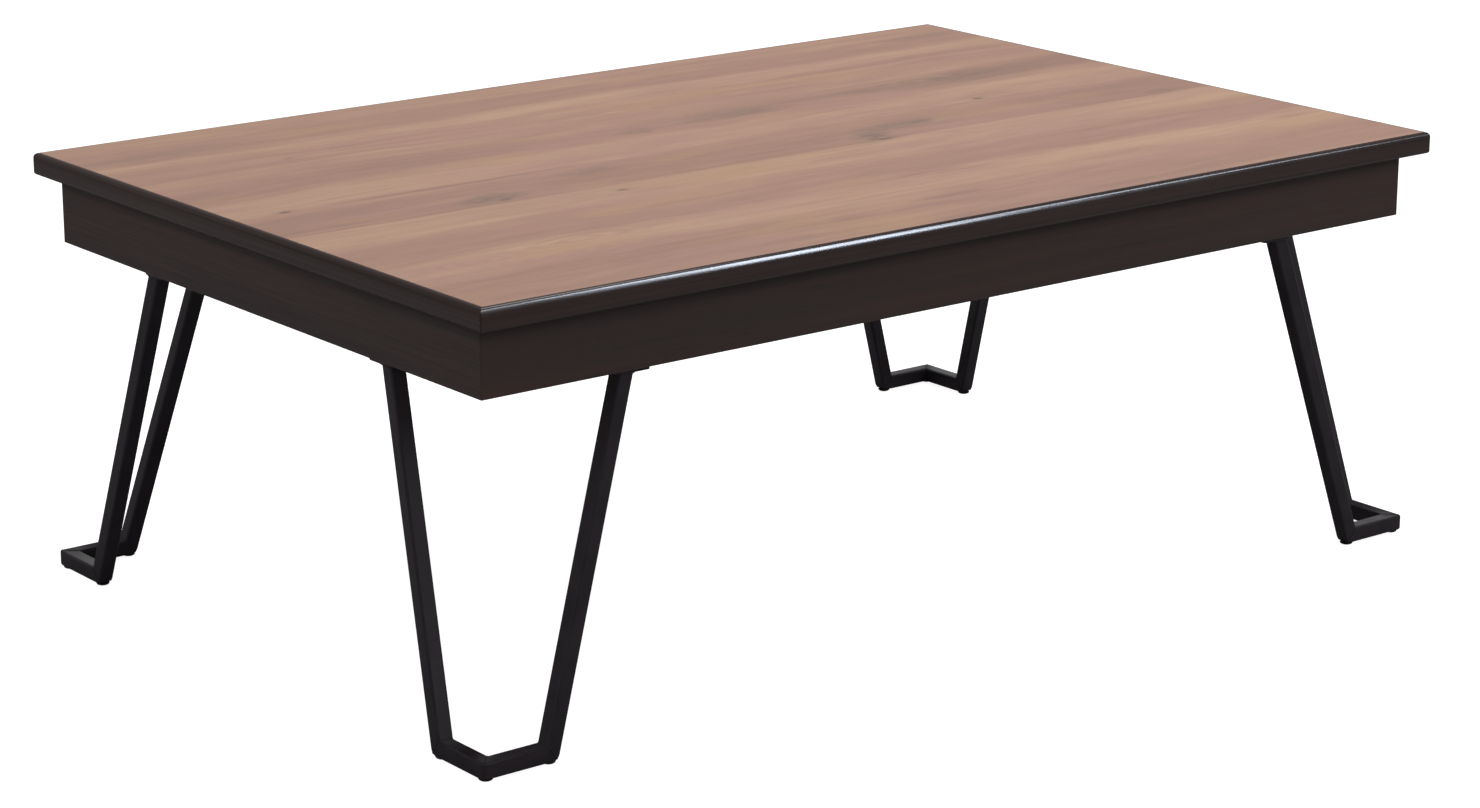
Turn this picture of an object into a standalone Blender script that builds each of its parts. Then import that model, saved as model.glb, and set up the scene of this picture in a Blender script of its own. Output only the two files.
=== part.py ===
"""Low coffee table: a lift-off wood-grain top on a mitred apron, carried by four splayed steel legs.

Metres, +Z up. The floor is z = 0 and the origin lies under the middle of the top.
The long sides, front (-Y) and back (+Y), run along X. The short sides are left (-X) and right (+X).
"""

import math

import bmesh
import bpy
from mathutils import Matrix, Vector

# Whole table
TOP_LENGTH = 1.050
TOP_WIDTH = 0.700
TABLE_HEIGHT = 0.385
CLEARANCE = 0.0003

# Top board
TOP_THICKNESS = 0.020
FACE_THICKNESS = 0.0008
BACKER_THICKNESS = 0.0008
EDGE_WIDTH = 0.005
EDGE_TOP_ROUND = 0.0045
EDGE_BOTTOM_ROUND = 0.0025
EDGE_CORNER_EASE = 0.0006

# Apron frame
END_OVERHANG = 0.015
SIDE_OVERHANG = 0.023
APRON_HEIGHT = 0.058
APRON_THICKNESS = 0.024
APRON_ARRIS = 0.001
GUSSET_THICKNESS = 0.018
GUSSET_MARGIN = 0.010
CROSS_RAIL_SPACING = 0.330
CROSS_RAIL_WIDTH = 0.020
CROSS_RAIL_HEIGHT = 0.040
TENON_LENGTH = 0.010
TENON_SHOULDER = 0.007
REST_STRIP_THICKNESS = 0.001
REST_STRIP_WIDTH = 0.012
REST_STRIP_END = 0.060

# Steel legs
BAR = 0.0145
BAR_ROUND = 0.002
BEND_ROUND = 0.006
FOOT_OUTSET = 0.006
FOOT_ARM = 0.060
UPRIGHT_SPREAD = 0.0895
UPRIGHT_TOP_INSET = 0.0145
PLATE_THICKNESS = 0.003
PLATE_SETBACK = 0.0045
PLATE_DEPTH = 0.040
PLATE_EAR = 0.0145
PLATE_HEEL = 0.002
GLIDE_DIAMETER = 0.012
GLIDE_HEIGHT = 0.0022
GLIDE_ROUND = 0.001

# Plate screws
SCREW_LENGTH = 0.016
SCREW_DIAMETER = 0.004
SCREW_POINT = 0.004
SCREW_HEAD_DIAMETER = 0.008
SCREW_HEAD_HEIGHT = 0.0022

# Facets
EDGE_ROUND_FACETS = 6
BAR_ROUND_FACETS = 3
BEND_FACETS = 3
TURNED_FACETS = 16
FILLET_SHARE = 0.95
MERGE_DISTANCE = 0.000001
QUARTER_TURN = math.radians(90)
DIAGONAL_TURN = QUARTER_TURN / 2

# Levels, from the top down
TOP_LOW = TABLE_HEIGHT - TOP_THICKNESS
APRON_HIGH = TOP_LOW - REST_STRIP_THICKNESS - 2 * CLEARANCE
APRON_LOW = APRON_HIGH - APRON_HEIGHT
PLATE_HIGH = APRON_LOW - CLEARANCE
PLATE_LOW = PLATE_HIGH - PLATE_THICKNESS
BAR_AXIS = GLIDE_HEIGHT + CLEARANCE + BAR / 2

# Plan sizes
FRAME_LENGTH = TOP_LENGTH - 2 * END_OVERHANG
FRAME_WIDTH = TOP_WIDTH - 2 * SIDE_OVERHANG
PANEL_LENGTH = TOP_LENGTH - 2 * (EDGE_WIDTH + CLEARANCE)
PANEL_WIDTH = TOP_WIDTH - 2 * (EDGE_WIDTH + CLEARANCE)

# A leg's own frame: its foot's point at x = y = 0, its two arms along +X and +Y,
# and the apron's outer faces one outset in from them
UPRIGHT_X = FOOT_ARM + UPRIGHT_SPREAD
UPRIGHT_Y = FOOT_OUTSET + UPRIGHT_TOP_INSET
PLATE_X = (UPRIGHT_X - BAR / 2 - PLATE_HEEL, UPRIGHT_X + BAR / 2 + PLATE_EAR)
PLATE_Y = (FOOT_OUTSET + PLATE_SETBACK, FOOT_OUTSET + PLATE_SETBACK + PLATE_DEPTH)
RAIL_INNER = FOOT_OUTSET + APRON_THICKNESS
EAR_SCREW = ((UPRIGHT_X + BAR / 2 + PLATE_X[1]) / 2, (PLATE_Y[0] + RAIL_INNER) / 2)
INNER_SCREW = ((PLATE_X[0] + PLATE_X[1]) / 2, (RAIL_INNER + PLATE_Y[1]) / 2)

SIDES = ("front", "right", "back", "left")
CORNERS = ("front_left", "front_right", "back_right", "back_left")
ACROSS_CORNER = Matrix(((0, 1, 0, 0), (1, 0, 0, 0), (0, 0, 1, 0), (0, 0, 0, 1)))


def clear_scene():
    for old in list(bpy.data.objects):
        bpy.data.objects.remove(old, do_unlink=True)


def new_collection(name):
    group = bpy.data.collections.new(name)
    bpy.context.scene.collection.children.link(group)
    return group


def finish(name, colour, roughness, metallic=0.0):
    material = bpy.data.materials.new(name)
    material.use_nodes = True
    shader = material.node_tree.nodes["Principled BSDF"]
    shader.inputs["Base Color"].default_value = (*colour, 1.0)
    shader.inputs["Roughness"].default_value = roughness
    shader.inputs["Metallic"].default_value = metallic
    return material


def turned_by(quarter_turns):
    return Matrix.Rotation(QUARTER_TURN * quarter_turns, 4, "Z")


def as_mesh(name, bm):
    bmesh.ops.recalc_face_normals(bm, faces=bm.faces[:])
    mesh = bpy.data.meshes.new(name)
    bm.to_mesh(mesh)
    bm.free()
    return mesh


def block(low, high):
    """A box between two corners, as a bmesh."""
    low, high = Vector(low), Vector(high)
    bm = bmesh.new()
    place = Matrix.Translation((low + high) / 2) @ Matrix.Diagonal((*(high - low), 1.0))
    bmesh.ops.create_cube(bm, size=1.0, matrix=place)
    return bm


def cut(bm, point, normal, close=True):
    """Takes away what lies beyond a plane, and closes the body there."""
    everything = bm.verts[:] + bm.edges[:] + bm.faces[:]
    made = bmesh.ops.bisect_plane(bm, geom=everything, plane_co=point, plane_no=normal, clear_outer=True)
    rim = [item for item in made["geom_cut"] if isinstance(item, bmesh.types.BMEdge)]
    if close and rim:
        bmesh.ops.contextual_create(bm, geom=rim)


def round_edges(bm, chosen, radius, facets):
    edges = [edge for edge in bm.edges if chosen(edge)]
    bmesh.ops.bevel(
        bm,
        geom=edges,
        offset=radius,
        offset_type="OFFSET",
        segments=facets,
        profile=0.5,
        affect="EDGES",
        clamp_overlap=True,
    )


def long_edge(side, level):
    """Chooses the edge along X that lies at this y and z."""

    def chosen(edge):
        offsets = [abs(v.co.y - side) + abs(v.co.z - level) for v in edge.verts]
        return max(offsets) < CLEARANCE / 2

    return chosen


def turned(name, profile):
    """A closed body turned about Z from (radius, z) points that run down its outer side."""
    bm = bmesh.new()
    corners = [bm.verts.new((radius, 0.0, z)) for radius, z in profile]
    for first, second in zip(corners, corners[1:]):
        bm.edges.new((first, second))
    outline = bpy.data.meshes.new(name + "_profile")
    bm.to_mesh(outline)
    bm.free()
    blank = bpy.data.objects.new(name + "_blank", outline)
    bpy.context.scene.collection.objects.link(blank)
    screw = blank.modifiers.new("turn", "SCREW")
    screw.axis = "Z"
    screw.steps = TURNED_FACETS
    screw.render_steps = TURNED_FACETS
    screw.use_merge_vertices = True
    screw.merge_threshold = MERGE_DISTANCE
    return settled(name, blank)


def settled(name, blank):
    """The evaluated mesh of a blank, which is then removed."""
    bpy.context.view_layer.update()
    shaped = blank.evaluated_get(bpy.context.evaluated_depsgraph_get())
    mesh = bpy.data.meshes.new_from_object(shaped)
    mesh.name = name
    bpy.data.objects.remove(blank, do_unlink=True)
    return mesh


def carved(name, mesh, tool_mesh, operation):
    """A mesh cut or joined by another one, with no helper objects left behind."""
    blank = bpy.data.objects.new(name + "_blank", mesh)
    tool = bpy.data.objects.new(name + "_tool", tool_mesh)
    for helper in (blank, tool):
        bpy.context.scene.collection.objects.link(helper)
    boolean = blank.modifiers.new(operation.lower(), "BOOLEAN")
    boolean.operation = operation
    boolean.object = tool
    shaped = settled(name, blank)
    bpy.data.objects.remove(tool, do_unlink=True)
    return shaped


def upright_holes(name, places, radius, low, high):
    """Round cutters standing at (x, y) places, as one mesh."""
    bm = bmesh.new()
    for x, y in places:
        bmesh.ops.create_cone(
            bm,
            cap_ends=True,
            segments=TURNED_FACETS,
            radius1=radius,
            radius2=radius,
            depth=high - low,
            matrix=Matrix.Translation((x, y, (low + high) / 2)),
        )
    return as_mesh(name, bm)


class Table:
    """Collections, finishes and empties that the pieces are placed with."""

    def __init__(self):
        self.parts = new_collection("coffee_table")
        self.cutters = new_collection("cutters")
        self.frame = self.empty("frame", (0, 0, 0))
        self.top = self.empty("top_lift", (0, 0, TOP_LOW))
        self.wood_face = finish("wood_grain_face", (0.40, 0.26, 0.19), 0.45)
        self.board = finish("core_board", (0.45, 0.33, 0.22), 0.8)
        self.backer = finish("backer_sheet", (0.05, 0.04, 0.035), 0.6)
        self.edge = finish("edge_moulding", (0.028, 0.023, 0.020), 0.25)
        self.apron = finish("apron_wrap", (0.034, 0.024, 0.022), 0.45)
        self.bare_wood = finish("bare_wood", (0.50, 0.36, 0.22), 0.75)
        self.steel = finish("leg_steel", (0.017, 0.014, 0.017), 0.5, 0.3)
        self.screw = finish("screw_steel", (0.03, 0.03, 0.03), 0.35, 0.9)
        self.glide = finish("glide_plastic", (0.012, 0.012, 0.012), 0.6)
        self.felt = finish("rest_felt", (0.04, 0.04, 0.04), 0.95)

    def empty(self, name, location):
        holder = bpy.data.objects.new(name, None)
        holder.location = location
        self.parts.objects.link(holder)
        return holder

    def add(self, name, mesh, material, parent, location=(0, 0, 0), turn=0.0):
        piece = bpy.data.objects.new(name, mesh)
        if not mesh.materials:
            mesh.materials.append(material)
        self.parts.objects.link(piece)
        piece.parent = parent
        piece.location = Vector(location) - parent.location
        piece.rotation_euler.z = turn
        return piece

    def carve(self, piece, tool_mesh):
        tool = bpy.data.objects.new(piece.name + "_cutter", tool_mesh)
        tool.display_type = "WIRE"
        tool.hide_render = True
        self.cutters.objects.link(tool)
        tool.rotation_euler = piece.rotation_euler
        boolean = piece.modifiers.new("sockets", "BOOLEAN")
        boolean.operation = "DIFFERENCE"
        boolean.object = tool


def mitred_bar(name, span, distance, width, low, high, rounds, corner_ease):
    """A bar along X whose outer face lies at y = -distance, mitred at both ends."""
    outer = -distance
    bm = block((-span / 2, outer, low), (span / 2, outer + width, high))
    for level, radius in rounds:
        limit = FILLET_SHARE * min(width, (high - low) / 2)
        round_edges(bm, long_edge(outer, level), min(radius, limit), EDGE_ROUND_FACETS)
    for end in (-1, 1):
        corner = Vector((end * span / 2, outer, 0))
        mitre = Vector((end, 1, 0)).normalized()
        ease = Vector((end, -1, 0)).normalized()
        cut(bm, corner - mitre * CLEARANCE / 2, mitre)
        cut(bm, corner - ease * corner_ease, ease)
    return as_mesh(name, bm)


def sides_of(length, width):
    """Each side's name, its length, its distance from the middle and its turn."""
    for turn, side in enumerate(SIDES):
        span, distance = (length, width / 2) if turn % 2 == 0 else (width, length / 2)
        yield side, span, distance, QUARTER_TURN * turn


def add_top(table):
    half = Vector((PANEL_LENGTH / 2, PANEL_WIDTH / 2, 0))
    layers = (
        ("top_backer", table.backer, TOP_LOW, TOP_LOW + BACKER_THICKNESS),
        (
            "top_core",
            table.board,
            TOP_LOW + BACKER_THICKNESS + CLEARANCE,
            TABLE_HEIGHT - FACE_THICKNESS - CLEARANCE,
        ),
        ("top_wood_face", table.wood_face, TABLE_HEIGHT - FACE_THICKNESS, TABLE_HEIGHT),
    )
    for name, material, low, high in layers:
        bm = block((-half.x, -half.y, low - TOP_LOW), (half.x, half.y, high - TOP_LOW))
        table.add(name, as_mesh(name, bm), material, table.top, table.top.location)
    rounds = ((TOP_THICKNESS, EDGE_TOP_ROUND), (0.0, EDGE_BOTTOM_ROUND))
    for side, span, distance, turn in sides_of(TOP_LENGTH, TOP_WIDTH):
        name = "top_edge_" + side
        mesh = mitred_bar(name, span, distance, EDGE_WIDTH, 0.0, TOP_THICKNESS, rounds, EDGE_CORNER_EASE)
        table.add(name, mesh, table.edge, table.top, table.top.location, turn)


def rail_sockets(name, span, distance, mortises):
    """Pilot holes for the ear screws, and mortises for the cross rails, as one cutter."""
    reach = span / 2 + FOOT_OUTSET - EAR_SCREW[0]
    y = -distance - FOOT_OUTSET + EAR_SCREW[1]
    radius = SCREW_DIAMETER / 2 + CLEARANCE
    top = PLATE_LOW + SCREW_LENGTH + CLEARANCE
    pilots = upright_holes(name, ((-reach, y), (reach, y)), radius, PLATE_LOW, top)
    if not mortises:
        return pilots
    bm = bmesh.new()
    bm.from_mesh(pilots)
    inner = -distance + APRON_THICKNESS
    for x in (-CROSS_RAIL_SPACING / 2, CROSS_RAIL_SPACING / 2):
        low = Vector((x - CROSS_RAIL_WIDTH / 2, inner - TENON_LENGTH, tenon_low())) - grown()
        high = Vector((x + CROSS_RAIL_WIDTH / 2, inner + TENON_LENGTH, tenon_high())) + grown()
        bm.from_mesh(as_mesh(name + "_mortise", block(low, high)))
    return as_mesh(name, bm)


def grown():
    return Vector((CLEARANCE, CLEARANCE, CLEARANCE))


def tenon_low():
    return APRON_HIGH - CROSS_RAIL_HEIGHT + TENON_SHOULDER


def tenon_high():
    return APRON_HIGH - TENON_SHOULDER


def add_apron(table):
    rounds = ((APRON_HIGH, APRON_ARRIS), (APRON_LOW, APRON_ARRIS))
    for side, span, distance, turn in sides_of(FRAME_LENGTH, FRAME_WIDTH):
        name = "apron_" + side
        mesh = mitred_bar(name, span, distance, APRON_THICKNESS, APRON_LOW, APRON_HIGH, rounds, APRON_ARRIS)
        rail = table.add(name, mesh, table.apron, table.frame, turn=turn)
        carries_cross_rails = side in ("front", "back")
        table.carve(rail, rail_sockets(name + "_sockets", span, distance, carries_cross_rails))


def add_cross_rails(table):
    """Rails across the frame. Each ends in a stub tenon that is lower than the rail."""
    shoulder = FRAME_WIDTH / 2 - APRON_THICKNESS - CLEARANCE
    tip = FRAME_WIDTH / 2 - APRON_THICKNESS + TENON_LENGTH
    rail_low = APRON_HIGH - CROSS_RAIL_HEIGHT
    half = CROSS_RAIL_WIDTH / 2
    body = as_mesh("cross_rail_body", block((-half, -shoulder, rail_low), (half, shoulder, APRON_HIGH)))
    tenons = as_mesh("cross_rail_tenons", block((-half, -tip, tenon_low()), (half, tip, tenon_high())))
    mesh = carved("cross_rail", body, tenons, "UNION")
    for side, x in (("left", -CROSS_RAIL_SPACING / 2), ("right", CROSS_RAIL_SPACING / 2)):
        table.add("cross_rail_" + side, mesh, table.bare_wood, table.frame, (x, 0, 0))


def add_rest_strips(table):
    half_length = FRAME_LENGTH / 2 - REST_STRIP_END
    low = APRON_HIGH + CLEARANCE
    high = low + REST_STRIP_THICKNESS
    half_width = REST_STRIP_WIDTH / 2
    strip = block((-half_length, -half_width, low), (half_length, half_width, high))
    mesh = as_mesh("rest_strip", strip)
    middle = (FRAME_WIDTH - APRON_THICKNESS) / 2
    for side, y in (("front", -middle), ("back", middle)):
        table.add("rest_strip_" + side, mesh, table.felt, table.frame, (0, y, 0))


def leg_places():
    """Each corner's name, its foot's point, its quarter turns and the sides its two arms lie on."""
    x = FRAME_LENGTH / 2 + FOOT_OUTSET
    y = FRAME_WIDTH / 2 + FOOT_OUTSET
    points = ((-x, -y), (x, -y), (x, y), (-x, y))
    for turns, (corner, point) in enumerate(zip(CORNERS, points)):
        yield corner, Vector((*point, 0)), turns, (SIDES[turns], SIDES[turns - 1])


def gusset_mesh():
    """A triangular board in the rails' corner, with blunt ends, bored for the inner plate screws."""
    start = RAIL_INNER + CLEARANCE
    end = PLATE_X[1] + GUSSET_MARGIN
    slant = PLATE_X[1] + PLATE_Y[1] + GUSSET_MARGIN
    bm = block((start, start, APRON_LOW), (end, end, APRON_LOW + GUSSET_THICKNESS))
    diagonal = Vector((1, 1, 0)).normalized()
    cut(bm, Vector((slant / 2, slant / 2, 0)), diagonal)
    board = as_mesh("gusset_board", bm)
    places = (INNER_SCREW, INNER_SCREW[::-1])
    radius = SCREW_DIAMETER / 2 + CLEARANCE
    top = PLATE_LOW + SCREW_LENGTH + CLEARANCE
    holes = upright_holes("gusset_holes", places, radius, PLATE_LOW, top)
    return carved("corner_gusset", board, holes, "DIFFERENCE")


def bar_along(start, end, side, rise, overrun):
    """A square bar with eased edges from start to end, run past both by the overrun."""
    along = (end - start).normalized()
    length = (end - start).length + 2 * overrun
    half = BAR / 2
    bm = block((-half, -half, -length / 2), (half, half, length / 2))

    def runs_along(edge):
        return abs(edge.verts[0].co.z - edge.verts[1].co.z) > length / 2

    round_edges(bm, runs_along, min(BAR_ROUND, FILLET_SHARE * half), BAR_ROUND_FACETS)
    turn = Matrix((side, rise, along)).transposed().to_4x4()
    bmesh.ops.transform(bm, matrix=Matrix.Translation((start + end) / 2) @ turn, verts=bm.verts[:])
    return bm


class LegBend:
    """The mitre between a foot arm along +X and the upright that rises from its end."""

    def __init__(self):
        self.point = Vector((0, 0, BAR_AXIS))
        self.bend = Vector((FOOT_ARM, 0, BAR_AXIS))
        self.head = Vector((UPRIGHT_X, UPRIGHT_Y, PLATE_LOW))
        self.arm_axes = (Vector((0, 1, 0)), Vector((0, 0, 1)))
        arm = (self.bend - self.point).normalized()
        rise = (self.head - self.bend).normalized()
        self.mitre = (arm + rise).normalized()
        self.outward = (arm - rise).normalized()
        self.upright_axes = tuple(axis.reflect(self.mitre) for axis in self.arm_axes)

    def round_corner(self, bm):
        """Rounds the lower outer corner, where the bar turns from the floor to the upright."""
        under = -self.arm_axes[1]
        outside = -self.upright_axes[1]
        radius = min(BEND_ROUND, FILLET_SHARE * BAR / 2)
        inset = (BAR / 2 - radius) / self.outward.dot(under)
        centre = self.bend + self.outward * inset
        for facet in range(1, BEND_FACETS + 1):
            normal = under.slerp(outside, facet / (BEND_FACETS + 1))
            cut(bm, centre + normal * radius, normal)


def foot_mesh(leg):
    """Half of the foot, open at the corner's diagonal, turned so that the diagonal is the X axis."""
    bm = bar_along(leg.point, leg.bend, *leg.arm_axes, BAR)
    cut(bm, leg.bend - leg.mitre * CLEARANCE / 2, leg.mitre)
    leg.round_corner(bm)
    cut(bm, leg.point, Vector((-1, 1, 0)).normalized(), close=False)
    bmesh.ops.rotate(bm, verts=bm.verts[:], matrix=Matrix.Rotation(-DIAGONAL_TURN, 3, "Z"))
    return as_mesh("leg_foot", bm)


def upright_mesh(leg):
    """An upright from the foot's end to its plate, with the plate joined on and bored."""
    bm = bar_along(leg.bend, leg.head, *leg.upright_axes, BAR)
    cut(bm, leg.bend + leg.mitre * CLEARANCE / 2, -leg.mitre)
    leg.round_corner(bm)
    cut(bm, Vector((0, 0, (PLATE_LOW + PLATE_HIGH) / 2)), Vector((0, 0, 1)))
    bar = as_mesh("upright_bar", bm)
    plate_low = (PLATE_X[0], PLATE_Y[0], PLATE_LOW)
    plate_high = (PLATE_X[1], PLATE_Y[1], PLATE_HIGH)
    plate = as_mesh("upright_plate", block(plate_low, plate_high))
    welded = carved("upright_welded", plate, bar, "UNION")
    radius = SCREW_DIAMETER / 2 + CLEARANCE
    low = PLATE_LOW - PLATE_THICKNESS
    high = PLATE_HIGH + PLATE_THICKNESS
    holes = upright_holes("plate_holes", (EAR_SCREW, INNER_SCREW), radius, low, high)
    return carved("leg_upright", welded, holes, "DIFFERENCE")


def mirrored(name, mesh):
    """The same piece on the leg's other arm."""
    twin = mesh.copy()
    twin.name = name
    twin.transform(ACROSS_CORNER)
    twin.flip_normals()
    return twin


def glide_mesh():
    radius = GLIDE_DIAMETER / 2
    ease = min(GLIDE_ROUND, FILLET_SHARE * min(radius, GLIDE_HEIGHT))
    profile = ((0, GLIDE_HEIGHT), (radius, GLIDE_HEIGHT), (radius, ease), (radius - ease, 0), (0, 0))
    return turned("glide", profile)


def screw_mesh():
    """A pan-head screw that points up, with the underside of its head at z = 0."""
    shank = SCREW_DIAMETER / 2
    head = SCREW_HEAD_DIAMETER / 2
    profile = (
        (0, SCREW_LENGTH),
        (shank, SCREW_LENGTH - SCREW_POINT),
        (shank, 0),
        (head, 0),
        (head, -SCREW_HEAD_HEIGHT / 2),
        (shank, -SCREW_HEAD_HEIGHT),
        (0, -SCREW_HEAD_HEIGHT),
    )
    return turned("plate_screw", profile)


def add_legs(table):
    leg = LegBend()
    foot = foot_mesh(leg)
    upright = upright_mesh(leg)
    uprights = (upright, mirrored("leg_upright_mirrored", upright))
    gusset = gusset_mesh()
    glide = glide_mesh()
    screw = screw_mesh()
    glide_places = ((0, 0, 0), (FOOT_ARM, 0, 0), (0, FOOT_ARM, 0))
    screw_level = PLATE_LOW - CLEARANCE
    for corner, point, turns, arm_sides in leg_places():
        turn = QUARTER_TURN * turns
        table.add("corner_gusset_" + corner, gusset, table.bare_wood, table.frame, point, turn)
        foot_turn = turn + DIAGONAL_TURN
        whole_foot = table.add("leg_foot_" + corner, foot, table.steel, table.frame, point, foot_turn)
        mirror = whole_foot.modifiers.new("other_arm", "MIRROR")
        mirror.use_axis = (False, True, False)
        mirror.merge_threshold = MERGE_DISTANCE
        for mesh, side in zip(uprights, arm_sides):
            table.add(f"leg_upright_{corner}_{side}", mesh, table.steel, table.frame, point, turn)
        for label, place in zip(("point", *arm_sides), glide_places):
            spot = point + turned_by(turns) @ Vector(place)
            table.add(f"glide_{corner}_{label}", glide, table.glide, table.frame, spot)
        for flip, side in enumerate(arm_sides):
            for label, place in (("ear", EAR_SCREW), ("inner", INNER_SCREW)):
                x, y = place[::-1] if flip else place
                spot = point + turned_by(turns) @ Vector((x, y, screw_level))
                table.add(f"plate_screw_{corner}_{side}_{label}", screw, table.screw, table.frame, spot)


def main():
    clear_scene()
    table = Table()
    add_top(table)
    add_apron(table)
    add_cross_rails(table)
    add_rest_strips(table)
    add_legs(table)


main()
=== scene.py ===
"""Looks of a low coffee table: wood-grain top, dark mouldings and apron, black bar legs."""

import functools
import math

import bmesh
import bpy
from bpy.props import FloatProperty, FloatVectorProperty, IntProperty, PointerProperty
from mathutils import Color, Matrix, Vector


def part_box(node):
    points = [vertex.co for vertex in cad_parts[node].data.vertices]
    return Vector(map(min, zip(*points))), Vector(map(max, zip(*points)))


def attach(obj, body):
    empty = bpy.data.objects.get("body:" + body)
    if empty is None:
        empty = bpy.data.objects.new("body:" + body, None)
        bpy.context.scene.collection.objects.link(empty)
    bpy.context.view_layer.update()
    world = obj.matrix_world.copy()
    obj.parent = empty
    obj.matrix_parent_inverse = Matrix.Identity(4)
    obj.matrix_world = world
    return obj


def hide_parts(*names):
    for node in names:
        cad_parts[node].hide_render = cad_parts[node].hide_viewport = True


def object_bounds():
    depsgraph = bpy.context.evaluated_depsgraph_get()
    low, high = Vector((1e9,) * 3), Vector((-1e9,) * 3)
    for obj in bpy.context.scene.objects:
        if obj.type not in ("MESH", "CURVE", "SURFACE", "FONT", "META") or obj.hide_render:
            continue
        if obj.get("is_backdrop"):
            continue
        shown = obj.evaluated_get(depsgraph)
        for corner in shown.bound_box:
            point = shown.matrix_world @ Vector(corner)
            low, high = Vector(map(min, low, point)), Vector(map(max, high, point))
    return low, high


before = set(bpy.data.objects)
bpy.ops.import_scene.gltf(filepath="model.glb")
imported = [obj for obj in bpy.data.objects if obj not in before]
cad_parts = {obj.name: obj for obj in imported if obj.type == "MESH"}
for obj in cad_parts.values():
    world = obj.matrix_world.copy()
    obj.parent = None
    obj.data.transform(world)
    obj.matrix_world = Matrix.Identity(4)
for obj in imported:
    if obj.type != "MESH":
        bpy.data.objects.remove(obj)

bl_info = {
    "name": "Low Coffee Table",
    "version": (1, 0, 0),
    "blender": (4, 5, 0),
    "location": "View3D > Sidebar > Coffee Table",
    "description": "Dresses the frame of a low coffee table with its finished pieces",
    "category": "Object",
}

CAD_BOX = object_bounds()
SIDES = ("front", "right", "back", "left")
CORNERS = ("front_left", "front_right", "back_right", "back_left")
QUARTER_TURN = math.radians(90)
HALF_QUARTER = math.radians(45)
SHARP_ANGLE = math.radians(35)
MERGE_DISTANCE = 0.000002
DISPLAY_WHITE = 255
PHOTO_WIDTH = 1480
WHITE = (1.0, 1.0, 1.0)
NOISE_MIDDLE = (0.3, 0.7)


# Settings

def length_property(name, description, default):
    return FloatProperty(name=name, description=description, default=default, unit="LENGTH", precision=5)


def colour_property(name, description, *display):
    """A colour whose default is given in display values of 0 to 255."""
    start = Color([value / DISPLAY_WHITE for value in display]).from_srgb_to_scene_linear()
    return FloatVectorProperty(
        name=name, description=description, default=start, subtype="COLOR", size=3, min=0.0, max=1.0
    )


def share_property(name, description, default):
    return FloatProperty(
        name=name, description=description, default=default, subtype="FACTOR", min=0.0, max=1.0
    )


def strength_property(name, description, default):
    return FloatProperty(name=name, description=description, default=default, min=0.0)


def angle_property(name, description, degrees):
    start = math.radians(degrees)
    return FloatProperty(name=name, description=description, default=start, subtype="ANGLE")


def count_property(name, description, default, least=2):
    return IntProperty(name=name, description=description, default=default, min=least)


class BoardLooks(bpy.types.PropertyGroup):
    """Sizes and colours of the lift-off top."""

    light_wood: colour_property("Light Wood", "Palest bands of the printed grain", 176, 144, 121)
    mid_wood: colour_property("Mid Wood", "Main tone of the printed grain", 160, 126, 110)
    dark_wood: colour_property("Dark Wood", "Darker bands of the printed grain", 146, 114, 101)
    rose_wood: colour_property("Rose Wood", "Pinkish clouds in the printed grain", 164, 127, 117)
    gold_wood: colour_property("Gold Wood", "Yellowish clouds in the printed grain", 171, 139, 106)
    stain: colour_property("Stain", "Grey patches in the printed grain", 112, 99, 88)
    knot: colour_property("Knot", "Heart of a printed knot", 88, 70, 64)
    wood_roughness: share_property("Wood Roughness", "Blur of the reflections in the wood face", 0.52)
    face_ease: length_property("Face Ease", "Rounding of the edges of the board's sheets", 0.0002)
    seam: length_property("Seam", "Gap that shows between the wood face and the moulding", 0.0001)
    chip_light: colour_property("Light Chip", "Palest chips of the board's core", 206, 174, 132)
    chip_dark: colour_property("Dark Chip", "Darkest chips of the board's core", 140, 104, 66)
    moulding: colour_property("Moulding", "Dark edge moulding", 57, 44, 42)
    top_round: length_property("Top Round", "Radius of the moulding's upper edge", 0.0040)
    face_round: length_property("Face Round", "Radius of the moulding's gently curved face", 0.0205)
    face_lean: angle_property("Face Lean", "Lean of the face where it meets the upper edge", 14)
    bottom_round: length_property("Bottom Round", "Round-over of the moulding's lower edge", 0.0035)
    corner_round: length_property("Corner Round", "Rounding of the moulding's corners in plan", 0.0015)
    joint_gap: length_property("Joint Gap", "Gap that shows in a mitred joint", 0.00012)
    round_facets: count_property("Round Facets", "Facets in a round-over", 10, least=3)


class ApronLooks(bpy.types.PropertyGroup):
    """Sizes and colours of the apron frame."""

    wrap: colour_property("Wrap", "Main tone of the apron's dark wood wrap", 57, 48, 47)
    wrap_red: colour_property("Wrap Streak", "Reddish streaks of the apron's wrap", 68, 51, 48)
    wrap_dark: colour_property("Wrap Pore", "Dark pores of the apron's wrap", 40, 34, 33)
    # The next two set the painted shade under the overhang of the top
    painted_shade_depth: length_property("Painted Shade Depth", "Height of the dim band close under the top", 0.014)
    painted_shade_share: share_property("Painted Shade Share", "Strength of the dim band close under the top", 0.45)
    arris: length_property("Arris", "Rounding of the rails' long edges", 0.001)
    corner_round: length_property("Corner Round", "Rounding of the frame's corners in plan", 0.0011)
    joint_gap: length_property("Joint Gap", "Gap that shows in a mitred joint", 0.00003)
    arris_facets: count_property("Arris Facets", "Facets in a rail's arris", 5)
    bare_light: colour_property("Bare Wood", "Early wood of the planed rails", 214, 184, 140)
    bare_dark: colour_property("Bare Wood Grain", "Late wood of the planed rails", 178, 138, 92)
    bare_ease: length_property("Bare Ease", "Rounding of the inner boards' edges", 0.0008)
    ply_thickness: length_property("Ply Thickness", "Thickness of one layer of the gussets", 0.0020)
    felt: colour_property("Felt", "Felt tape that the top rests on", 46, 45, 47)


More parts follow.
